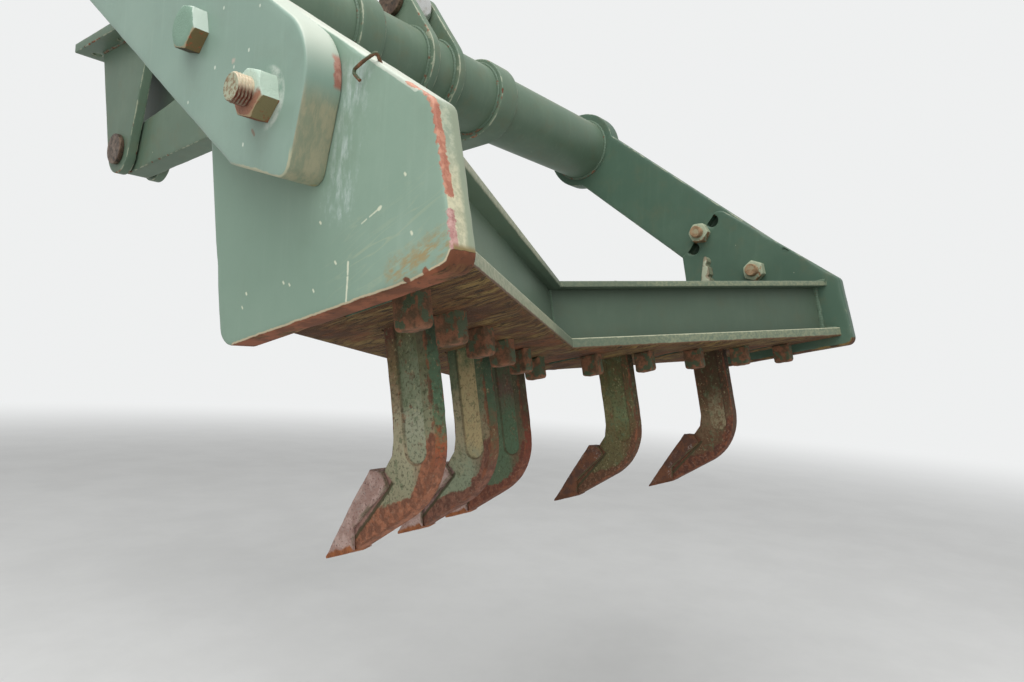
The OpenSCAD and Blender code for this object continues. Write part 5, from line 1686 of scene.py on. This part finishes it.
def shank(n):
    """One shank with its marks: recess, heel, fall below the block's underside, the place ahead
    of the rear face, and the place along the tip and above the lower line of the tip's cheek."""
    outline = shank_outline(HEADS[n])
    creases = [spaced(recess_ring(0.0005), 0.006), spaced(recess_ring(-0.0025), 0.006)]
    flat_marks = {}

    def shape(points):
        flat_marks["recess"] = distance_to(points[:, 1:], recess_line, closed=False) - recess_w / 2
        heel = np.concatenate([arc([heel_r, -shank_leg], heel_r, 192, 240), [on_tip(nose_in, -tip_h)]])
        flat_marks["heel"] = distance_to(points[:, 1:], heel, closed=False)
        flat_marks["fall"] = -points[:, 2]
        flat_marks["ahead"] = points[:, 1]
        cos, sin = math.cos(math.radians(tip_slope)), math.sin(math.radians(tip_slope))
        ahead, up = points[:, 1] - tip_ahead, points[:, 2] + shank_leg + tip_below
        flat_marks["along_tip"] = ahead * cos - up * sin
        flat_marks["above_seam"] = ahead * sin + up * cos + tip_h
        return sunk(points)

    r, wear = (0.0018, 0.3) if HEADS[n] else (0.0032, 0.8)
    solid = plate(outline, -shank_t / 2, shank_t / 2, in_tooth(POCKETS[n]), r=r, wear=wear, step=0.006,
                  creases=creases, shape=shape)
    solid.marks.update(flat_marks)
    return solid


for n in range(5):
    piece(f"shank_{n + 1}_steel", shank(n), shank_finishes[n], [f"shank_{n + 1}"],
          dent=0.0008, dent_size=0.02)
print("shanks:", made["shank_1_steel"], "triangles each")

# %% [markdown]
# A tip is a pointed cap over the nose. Along its length everything changes: its width, its upper
# and lower edges and the slot for the nose. So it is a section carried along the tip, with each
# of those four as a function of the place along it, and past the nose the slot closes to nothing.

# %% Tips
def tip_section(a):
    """Half width, upper edge, lower edge and slot at places along the tip, all as arrays. The
    point is rounded off: over its last stretch, where t runs from 0 to 1, the half width loses
    blunt * (1 - sqrt(1 - t * t))."""
    half = shank_t / 2 + tip_cheek
    taper_from, blunt = 0.42 * tip_l, 0.009
    width = np.interp(a, [0, taper_from, tip_l], [half, half, tip_point_w / 2])
    to_point = np.clip((a - (tip_end - blunt)) / blunt, 0, 1)
    width = width - blunt * (1 - np.sqrt(np.maximum(1 - to_point ** 2, 0.02)))
    top = np.interp(a, [-tip_h / 3, 0, tip_end - 0.010, tip_end], [-tip_h / 2, 0, -0.0002, -0.0008])
    low = np.interp(a, [-tip_h / 3, -tip_h / 5, nose_in - cheek_run, nose_in, 0.72 * tip_l, tip_l],
                    [-tip_h / 2, -tip_h, -tip_skin - cheek_drop, -tip_h, -0.82 * tip_h, 0.0])
    low = np.minimum(low, top - 0.0002)
    slot_top = np.minimum(np.full(len(a), tip_gap - tip_skin), top - 0.0001)
    slot_top = np.where(a < nose_in + tip_gap, np.maximum(slot_top, low), low)
    return width, top, low, slot_top


def tip(n):
    """One tip. A section runs up one cheek, over the top with rounded arrises, down the other
    cheek and round the slot."""
    a = np.unique(np.concatenate([
        np.linspace(-tip_h / 3, 0, 5), np.linspace(0, nose_in - cheek_run, 22),
        np.linspace(nose_in - cheek_run, nose_in, 6),
        [nose_in + tip_gap, nose_in + tip_gap + 0.0002], np.linspace(nose_in + 0.001, tip_end, 20)]))
    width, top, low, slot_top = tip_section(a)
    slot = np.minimum(shank_t / 2 + tip_gap, width - 0.0005)
    deep = top - low
    r = np.minimum(0.005, np.minimum(deep * 0.4, width * 0.4))
    rise, turn = np.linspace(0, 1, 4), np.linspace(0, np.pi / 2, 5)[1:]
    right_x = [width] * len(rise) + [width - r * (1 - math.cos(t)) for t in turn]
    right_y = [low + (deep - r) * k for k in rise] + [top - r * (1 - math.sin(t)) for t in turn]
    right_x += [(width - r) * k for k in (0.5, 0.0)]
    right_y += [top, top]
    slot_x = [-slot, -slot, -slot * 0.5, 0.0 * slot, slot * 0.5, slot, slot]
    slot_y = [low, slot_top, slot_top, slot_top, slot_top, slot_top, low]
    ring_x = right_x + [-v for v in right_x[:-1][::-1]] + slot_x
    ring_y = right_y + right_y[:-1][::-1] + slot_y
    ring_x, ring_y = np.stack(ring_x, 1), np.stack(ring_y, 1)
    flat = on_tip(np.repeat(a, ring_x.shape[1]), ring_y.ravel()).T
    points = np.column_stack([ring_x.ravel(), flat])
    sides = ring_x.shape[1]
    count = len(points)
    ends = np.stack([points[:sides].mean(0), points[-sides:].mean(0)])
    j = np.arange(sides)
    after = (j + 1) % sides
    first_cap = np.stack([np.full(sides, count), after, j], 1)
    last_cap = np.stack([np.full(sides, count + 1), count - sides + j, count - sides + after], 1)
    caps = np.concatenate([first_cap, last_cap])
    along = np.repeat(a, sides)
    from_top = np.repeat(top, sides) - ring_y.ravel()
    from_low = ring_y.ravel() - np.repeat(low, sides)
    rear_end = np.append(along + tip_h / 3, [0.0, 0.1])
    edge = np.append(np.minimum(np.abs(from_top), np.abs(from_low)), [0.01, 0.001])
    seam = np.append(np.abs(np.where(along < nose_in, from_low, 1.0)), [1.0, 1.0])
    belly = np.append(np.where(along > nose_in - 0.004, from_low, 1.0), [1.0, 0.001])
    place = in_tooth(POCKETS[n])
    return Surface(place(np.concatenate([points, ends])), [grid_faces(len(a), sides, wrap=True), caps],
                   edge=edge, low=belly, seam=np.minimum(seam, rear_end))


for n in range(5):
    finish = near_tip_rust if n < 3 else far_tip_rust
    piece(f"tip_{n + 1}_steel", tip(n), finish, [f"tip_{n + 1}"], dent=0.0016, dent_size=0.014)
print("tips:", made["tip_1_steel"], "triangles each")

# %% [markdown]
# Two pivot bolts and two pitch bolts, all of one size, hold the block to the arms. A head or a nut
# is a turned part whose radius is cut by a hexagon and by a chamfer cone; the thread is a ridge
# that climbs one pitch for each turn.

# %% Bolts and nuts
pivot_hex, pitch_hex, thread_out, head_share, nut_share = 0.046, 0.046, 0.016, 0.62, 0.7
clamp_in, clamp_out = inner_x, block_w / 2 + arm_t
pitch_angle = math.radians(pitch_mid)
PIVOT = [-pivot_ahead, pivot_up]
PITCH = [-pivot_ahead - pitch_r * math.cos(pitch_angle), pivot_up + pitch_r * math.sin(pitch_angle)]


def around(at, side):
    """Frame of a bolt: along it from the machine's middle outwards, then rearward and up."""
    def place(points):
        along, a, b = points.T
        cos, sin = math.cos(-block_pitch), math.sin(-block_pitch)
        return in_block(np.stack([side * along, at[0] + a * cos - b * sin, at[1] + a * sin + b * cos], 1))
    return place


def bolt_set(at, side, d, flats, nut_outside, turns, pitch):
    """Head, shaft with thread, and nut. turns holds the angle of a vertex of head and nut."""
    head, nut = d * head_share, d * nut_share
    place = around(at, side)
    if nut_outside:
        head_x, nut_x = (clamp_in - head, clamp_in), (clamp_out + nut, clamp_out)
        tip_x = clamp_out + nut + thread_out
    else:
        head_x, nut_x = (clamp_out + head, clamp_out), (clamp_in - nut, clamp_in)
        tip_x = clamp_in - nut - thread_out
    head_solid = hex_solid(flats, turns[0], head_x[0], head_x[1], place)
    nut_solid = hex_solid(flats, turns[1], nut_x[0], nut_x[1], place)
    shaft = threaded(d, pitch, (clamp_in + clamp_out) / 2, tip_x, place)
    return head_solid, shaft, nut_solid


BOLTS = [
    # name, place, side, shaft, hexagon, nut outside, vertices of head and nut, pitch, finishes
    ("pivot", PIVOT, 1, pivot_bolt_d, pivot_hex, True, (38, 44), 0.0035,
     (hidden_rust, near_thread_rust, near_nut_paint)),
    ("pivot", PIVOT, -1, pivot_bolt_d, pivot_hex, False, (38, 44), 0.0035,
     (hidden_rust, far_thread_rust, far_nut_rust)),
    ("pitch", PITCH, 1, pitch_bolt_d, pitch_hex, False, (44, 3), 0.0035,
     (near_head_paint, hidden_rust, hidden_rust)),
    ("pitch", PITCH, -1, pitch_bolt_d, pitch_hex, False, (44, 3), 0.0035,
     (hidden_rust, far_thread_rust, far_nut_rust)),
]
for kind, at, side, d, flats, outside, turns, pitch, finishes in BOLTS:
    label = "left" if side > 0 else "right"
    head_solid, shaft, nut_solid = bolt_set(at, side, d, flats, outside, turns, pitch)
    piece(f"{kind}_head_{label}", head_solid, finishes[0], dent=0.0004, dent_size=0.01)
    piece(f"{kind}_thread_{label}", shaft, finishes[1], [f"{kind}_bolt_{label}"])
    piece(f"{kind}_nut_{label}_steel", nut_solid, finishes[2], [f"{kind}_nut_{label}"],
          dent=0.0005, dent_size=0.01)
print("bolts:", made["pivot_thread_left"], "triangles in a thread")

# %% [markdown]
# The cross tube joins the arms, and two draft rails run from it to the hinge. The saddle above
# bolts the tool to its machine and holds the hinge pins and the cylinder's front pin.

# %% Tube, rails, lever and saddle
tube_wall, rail_rim, lever_rim, rail_x, rail_w, rail_eye_wall = 0.014, 0.014, 0.016, 0.210, 0.060, 0.030
hinge_pin_d, ear_t, ear_front, ear_rear, ear_wall, side_gap = 0.060, 0.025, 0.145, 0.165, 0.035, 0.005
run_gap, saddle_t, saddle_w, saddle_l = 0.00005, 0.025, 0.640, 0.440
saddle_hole_d, saddle_edge = 0.026, 0.045
cyl_pin_d, cyl_eye_wall, cyl_ear_foot, eye_w, lever_t = 0.050, 0.017, 0.075, 0.050, 0.020
cyl_front, lever_up, lever_ahead_of_tube = np.array([0.0, -0.150]), 0.157, 0.043

hinge_at = np.array([0.0, -hinge_depth])
lever_at = tube_at + [-lever_ahead_of_tube, lever_up]
hinge_gap, cyl_gap, cyl_eye_r = rail_w + 2 * side_gap, eye_w + 2 * side_gap, cyl_pin_d / 2 + cyl_eye_wall

outer, bore, end = tube_d / 2, tube_d / 2 - tube_wall, block_w / 2
tube_ring = spaced(rounded([[-end, bore, 0.001], [end, bore, 0.001], [end, outer, 0.002],
                            [-end, outer, 0.002]], 30), 0.02)
piece("cross_tube_steel", revolved(tube_ring, across(tube_at), 72, closed=True), upper_paint,
      ["cross_tube"])

tube_hole = circle(tube_at, tube_d / 2 + seat_gap, 72)
rail_outline = pulled_tight(circle(hinge_at, hinge_pin_d / 2 + rail_eye_wall),
                            circle(tube_at, tube_d / 2 + rail_rim, 72))
for label, side in (("left", 1), ("right", -1)):
    x = side * rail_x
    holes = [circle(hinge_at, hinge_pin_d / 2 + run_gap), tube_hole]
    rail = plate(rail_outline, x - rail_w / 2, x + rail_w / 2, in_machine, holes, r=0.003, wear=1.0,
                 step=0.010)
    piece(f"draft_rail_{label}_steel", rail, upper_paint, [f"draft_rail_{label}"])

lever_outline = pulled_tight(circle(tube_at, tube_d / 2 + lever_rim, 72), circle(lever_at, cyl_eye_r))
lever_plates = []
for x in (-cyl_gap / 2 - lever_t, cyl_gap / 2):
    holes = [circle(lever_at, cyl_pin_d / 2 + run_gap), tube_hole]
    lever_plates.append(plate(lever_outline, x, x + lever_t, in_machine, holes, r=0.002, step=0.008))
piece("lift_lever_steel", joined(lever_plates), upper_paint, ["lift_lever"])

saddle_outline = rounded([[-saddle_l / 2, -saddle_w / 2, 0.004], [saddle_l / 2, -saddle_w / 2, 0.004],
                          [saddle_l / 2, saddle_w / 2, 0.004], [-saddle_l / 2, saddle_w / 2, 0.004]])
saddle_holes = [circle([y, x], saddle_hole_d / 2)
                for x in (saddle_edge - saddle_w / 2, saddle_w / 2 - saddle_edge)
                for y in (saddle_edge - saddle_l / 2, 0, saddle_l / 2 - saddle_edge)]


def lying(points):
    """A plate that lies flat: its thickness is up."""
    up, rearward, x = points.T
    return np.stack([x, rearward, up], 1)


saddle_parts = [plate(saddle_outline, -saddle_t, 0, lying, saddle_holes, r=0.002, step=0.012)]
hinge_ear = pulled_tight(circle(hinge_at, hinge_pin_d / 2 + ear_wall),
                         np.array([[-ear_front, -saddle_t], [ear_rear, -saddle_t]]))
cyl_ear = pulled_tight(circle(cyl_front, cyl_eye_r),
                       np.array([[-cyl_ear_foot, -saddle_t], [cyl_ear_foot, -saddle_t]]))
ear_places = [side * rail_x + way * (hinge_gap + ear_t) / 2 for side in (-1, 1) for way in (-1, 1)]
for x in ear_places:
    hole = circle(hinge_at, hinge_pin_d / 2 + run_gap)
    saddle_parts.append(plate(hinge_ear, x - ear_t / 2, x + ear_t / 2, in_machine, [hole], r=0.002,
                              step=0.010))
for way in (-1, 1):
    x = way * (cyl_gap + lever_t) / 2
    hole = circle(cyl_front, cyl_pin_d / 2 + run_gap)
    saddle_parts.append(plate(cyl_ear, x - lever_t / 2, x + lever_t / 2, in_machine, [hole], r=0.002,
                              step=0.008))
piece("frame_saddle_steel", joined(saddle_parts), upper_paint, ["frame_saddle"], body="root")
print("saddle:", made["frame_saddle_steel"], "triangles")

# %% [markdown]
# Each pin has a flat head at one end and a small chamfer at the other. It is a hair thinner than
# the solid it stands for, so that the facets of pin and bore never cross as the yoke swings.

# %% Pins
pin_head_gap, pin_head_t, pin_head_lip, pin_end, pin_play = 0.0003, 0.012, 0.012, 0.006, 0.0003


def headed_pin(at, x_middle, d, gap, t, way):
    """A pin's profile from its chamfered end to its head, turned about its own axis."""
    half, d = gap / 2 + t, d - 2 * pin_play
    tail, head = -half - pin_end, half + pin_head_gap
    profile = stepped([[tail, 0], [tail, d / 2 - 0.002], [tail + 0.002, d / 2], [head, d / 2],
                       [head, d / 2 + pin_head_lip], [head + pin_head_t, d / 2 + pin_head_lip],
                       [head + pin_head_t, 0]])
    profile[:, 0] = x_middle + way * profile[:, 0]
    return revolved(profile, across(at), 48)


for label, side in (("left", 1), ("right", -1)):
    pin = headed_pin(hinge_at, side * rail_x, hinge_pin_d, hinge_gap, ear_t, side)
    piece(f"hinge_pin_{label}_steel", pin, greasy_pin, [f"hinge_pin_{label}"], body="root")
pin = headed_pin(cyl_front, 0, cyl_pin_d, cyl_gap, lever_t, 1)
piece("cylinder_front_pin_steel", pin, greasy_pin, ["cylinder_front_pin"], body="root")
pin = headed_pin(lever_at, 0, cyl_pin_d, cyl_gap, lever_t, 1)
piece("lever_pin_steel", pin, greasy_pin, ["lever_pin"])
print("pins:", made["lever_pin_steel"], "triangles each")

# %% [markdown]
# The lift cylinder is a barrel with a gland, two ports and an eye, and a chromed rod slides in it.
# It is turned about its own axis, which is tilted a little, so its frame has the rod's direction
# as its first step.

# %% Lift cylinder
barrel_d, barrel_l, gland_l, gland_wall = 0.095, 0.620, 0.055, 0.006
port_d, port_h, port_in = 0.034, 0.022, 0.032
rod_d, rod_in, rod_free, rod_eye_play = 0.045, 0.235, 0.010, 0.005

cyl_run = lever_at - cyl_front
cyl_length = float(np.linalg.norm(cyl_run))
cyl_cos, cyl_sin = cyl_run / cyl_length
barrel_from = cyl_ear_foot + side_gap
barrel_to = barrel_from + barrel_l
rod_from = barrel_to - rod_in


def in_cylinder(points):
    """Points are along the rod from the front pin, to the machine's left and square to both."""
    along, x, up = points.T
    return np.stack([x, cyl_front[0] + along * cyl_cos - up * cyl_sin,
                     cyl_front[1] + along * cyl_sin + up * cyl_cos], 1)


def port(along):
    """A port stands square on the barrel: turned about its own axis."""
    profile = stepped([[0.02, 0.0], [0.02, port_d / 2], [barrel_d / 2 + port_h, port_d / 2],
                       [barrel_d / 2 + port_h, 0]])

    def place(points):
        up, a, b = points.T
        return in_cylinder(np.stack([along + a, b, up], 1))
    return revolved(profile, place, 32)


def eye(at, bore, r=0.002):
    """An eye is a ring round its pin, across the machine."""
    ring = spaced(rounded([[-eye_w / 2, bore / 2, 0.0008], [eye_w / 2, bore / 2, 0.0008],
                           [eye_w / 2, bore / 2 + cyl_eye_wall, r],
                           [-eye_w / 2, bore / 2 + cyl_eye_wall, r]], 22), 0.01)

    def place(points):
        x, a, b = points.T
        return in_cylinder(np.stack([at + a, x, b], 1))
    return revolved(ring, place, 56, closed=True)


gland_d, gland_from = barrel_d + 2 * gland_wall, barrel_to - gland_l
barrel = revolved(stepped([
    [barrel_from, 0], [barrel_from, barrel_d / 2], [gland_from, barrel_d / 2], [gland_from, gland_d / 2],
    [gland_from + 0.020, gland_d / 2], [gland_from + 0.0205, gland_d / 2 - 0.002],
    [gland_from + 0.025, gland_d / 2 - 0.002], [gland_from + 0.0255, gland_d / 2],
    [barrel_to, gland_d / 2], [barrel_to, rod_d / 2 + 0.003], [barrel_to - 0.006, rod_d / 2 + 0.0002],
    [rod_from - rod_free, rod_d / 2 + 0.0002], [rod_from - rod_free, 0]],
    r=0.0012, step=0.012), in_cylinder, 64)
neck_h = 2 * cyl_eye_r - cyl_eye_wall


def sideways(points):
    """The neck's outline lies in the plane of the rod."""
    x, along, up = points.T
    return in_cylinder(np.stack([along, x, up], 1))


neck_from = cyl_pin_d / 2 + cyl_eye_wall * 0.45
neck = plate(rounded([[neck_from, -neck_h / 2, 0.002], [barrel_from + 0.002, -neck_h / 2, 0.002],
                      [barrel_from + 0.002, neck_h / 2, 0.002], [neck_from, neck_h / 2, 0.002]]),
             -eye_w / 2, eye_w / 2, sideways, r=0.003, step=0.008)
ports = [port(barrel_from + port_in), port(gland_from - port_in)]
cylinder_surface = joined([barrel, neck, eye(0, cyl_pin_d + 2 * run_gap), *ports])
piece("lift_cylinder_steel", cylinder_surface, upper_paint, ["lift_cylinder"],
      body="cylinder_barrel")

rod_eye_bore = cyl_pin_d + 2 * rod_eye_play
rod_to = cyl_length - rod_eye_bore / 2 - cyl_eye_wall / 2
rod = revolved(stepped([[rod_from, 0], [rod_from, rod_d / 2], [rod_to, rod_d / 2], [rod_to, 0]], step=0.02),
               in_cylinder, 56)
piece("lift_rod_steel", joined([rod, eye(cyl_length, rod_eye_bore)]), hard_chrome,
      ["lift_rod"], body="cylinder_rod")
print("cylinder:", made["lift_cylinder_steel"], "triangles")

# %% [markdown]
# Welds hold it all together. Each seam that shows gets its bead: the bars to the end plates, the
# ears to the saddle, and rings round the tube at each plate that it passes through.

# %% Weld beads
def block_point(x, ahead, up):
    """One place in the block's frame, ahead being measured from the V's line."""
    return in_block(np.array([[x, -(ahead + vee(x)), up]]))[0]


seam_x = inner_x - 0.001
seam_low, seam_high = block_lift + bottom_t, block_top - top_t
SEAMS = [
    # start and end, each as ahead and up, and the bead's radius
    ((rear_web, seam_low), (rear_web, seam_high), 0.006),
    ((rear_edge + 0.006, seam_low), (rear_web, seam_low), 0.005),
    ((rear_edge + top_setback, block_top), (spacer_from, block_top), 0.005),
    ((front_web, seam_low), (front_web, seam_high), 0.006),
    ((spacer_to, block_top), (front_edge - top_setback, block_top), 0.005),
]
block_seams = [bead(block_point(x, *start), block_point(x, *stop), r)
               for x in (-seam_x, seam_x) for start, stop, r in SEAMS]
block_seams += [bead(block_point(0, web, seam_low), block_point(0, web, seam_high), 0.0035)
                for web in (rear_web, front_web)]
piece("block_welds", joined(block_seams), bead_paint)

ring_places = [side * (rail_x + way * rail_w / 2) for side in (-1, 1) for way in (-1, 1)]
ring_places += [way * (cyl_gap / 2 + k * lever_t) for way in (-1, 1) for k in (0, 1)]
ring_places += [-block_w / 2 + 0.001, block_w / 2 - 0.001]
tube_rings = [ring_bead(tube_at, tube_d / 2 + 0.001, x) for x in ring_places]
piece("tube_welds", joined(tube_rings), bead_paint)

ear_seams = []
for x, t, (front, rear_end) in [(x, ear_t, (-ear_front, ear_rear)) for x in ear_places] + \
        [(way * (cyl_gap + lever_t) / 2, lever_t, (-cyl_ear_foot, cyl_ear_foot)) for way in (-1, 1)]:
    for way in (-1, 1):
        edge_x = x + way * t / 2
        ear_seams.append(bead([edge_x, front + 0.004, -saddle_t], [edge_x, rear_end - 0.004, -saddle_t],
                              0.005))
piece("saddle_welds", joined(ear_seams), bead_paint, body="root")
print("welds:", made["block_welds"], made["tube_welds"], made["saddle_welds"])

# %% [markdown]
# A thin bent rod is left on the near plate's upper edge, the last of some old bracket. It is a
# tube along six points.

# %% Bent rod
ROD_POINTS = np.array([[0.656, -0.0735, 0.2175], [0.667, -0.0668, 0.2248], [0.672, -0.0780, 0.2203],
                       [0.672, -0.0945, 0.2180], [0.672, -0.0955, 0.2140], [0.671, -0.0893, 0.2045]])
share = np.linspace(0, len(ROD_POINTS) - 1, 33)
rod_path = np.stack([np.interp(share, range(len(ROD_POINTS)), ROD_POINTS[:, k]) for k in range(3)], 1)
rod_path[1:-1] = (rod_path[:-2] + rod_path[1:-1] * 2 + rod_path[2:]) / 4
piece("bent_rod", tube(in_block(rod_path), 0.0018, 10), lug_rust)

# %% [markdown]
# ## Light and floor
# The light is that of an overcast day. One pale world and two large soft lamps give it without
# hard shadows, at a level at which a colour looks as it is written.

# %% Floor, world and lamps
FLOOR_Z = -1.72
FLOOR_HALF = 30.0
WORLD_LIGHT = 0.50
FADE_FROM, FADE_TO = 3.0, 9.0
pale = (0.86, 0.87, 0.87, 1.0)

floor_mesh = bpy.data.meshes.new("floor")
corners = np.array([[-1, -1], [1, -1], [1, 1], [-1, 1]]) * FLOOR_HALF
floor_mesh.from_pydata([(x, y, FLOOR_Z) for x, y in corners.tolist()], [], [(0, 1, 2, 3)])
floor = bpy.data.objects.new("floor", floor_mesh)
bpy.context.scene.collection.objects.link(floor)
f = Finish("pale_floor")
far_off = f.between(f.vector("LENGTH", f.place).outputs[1], FADE_FROM, FADE_TO)
concrete = f.mix(f.between(f.grain(0.3, 5.0, 0.6), 0.3, 0.7), (0.70, 0.70, 0.69, 1), (0.74, 0.74, 0.73, 1))
f.done(concrete, 0.9, f.grain(0.02, 3.0, 0.6), 0.0005)
distant = f.add("ShaderNodeEmission", {"Color": pale, "Strength": 1.0}).outputs[0]
blend = f.add("ShaderNodeMixShader", {0: far_off, 1: f.shader.outputs[0], 2: distant}).outputs[0]
f.tree.links.new(blend, f.tree.nodes["Material Output"].inputs["Surface"])
floor_mesh.materials.append(f.material)

world = bpy.data.worlds.new("grey_sky")
bpy.context.scene.world = world
world.use_nodes = True
w = Tree(world.node_tree)
background = world.node_tree.nodes["Background"]
ray = w.add("ShaderNodeLightPath").outputs
seen = w.larger(ray["Is Camera Ray"], w.larger(ray["Is Glossy Ray"], ray["Is Transmission Ray"]))
strength = w.plus(WORLD_LIGHT, w.times(seen, 1 - WORLD_LIGHT))
world.node_tree.links.new(strength, background.inputs["Strength"])
background.inputs["Color"].default_value = pale


LAMPS_FACE = Vector((0, 1.2, -0.6))


def lamp(name, at, size, power):
    """A large square lamp that faces the block."""
    data = bpy.data.lights.new(name, "AREA")
    data.shape, data.size, data.energy = "SQUARE", size, power
    thing = bpy.data.objects.new(name, data)
    bpy.context.scene.collection.objects.link(thing)
    thing.location = at
    thing.rotation_euler = (LAMPS_FACE - Vector(at)).to_track_quat("-Z", "Y").to_euler()


lamp("sky_lamp", (1.2, 1.9, 2.6), 3.5, 150)
lamp("side_lamp", (3.0, 3.6, 0.6), 2.5, 34)
bpy.context.scene.view_settings.view_transform = "Standard"
print("triangles in all:", sum(made.values()))
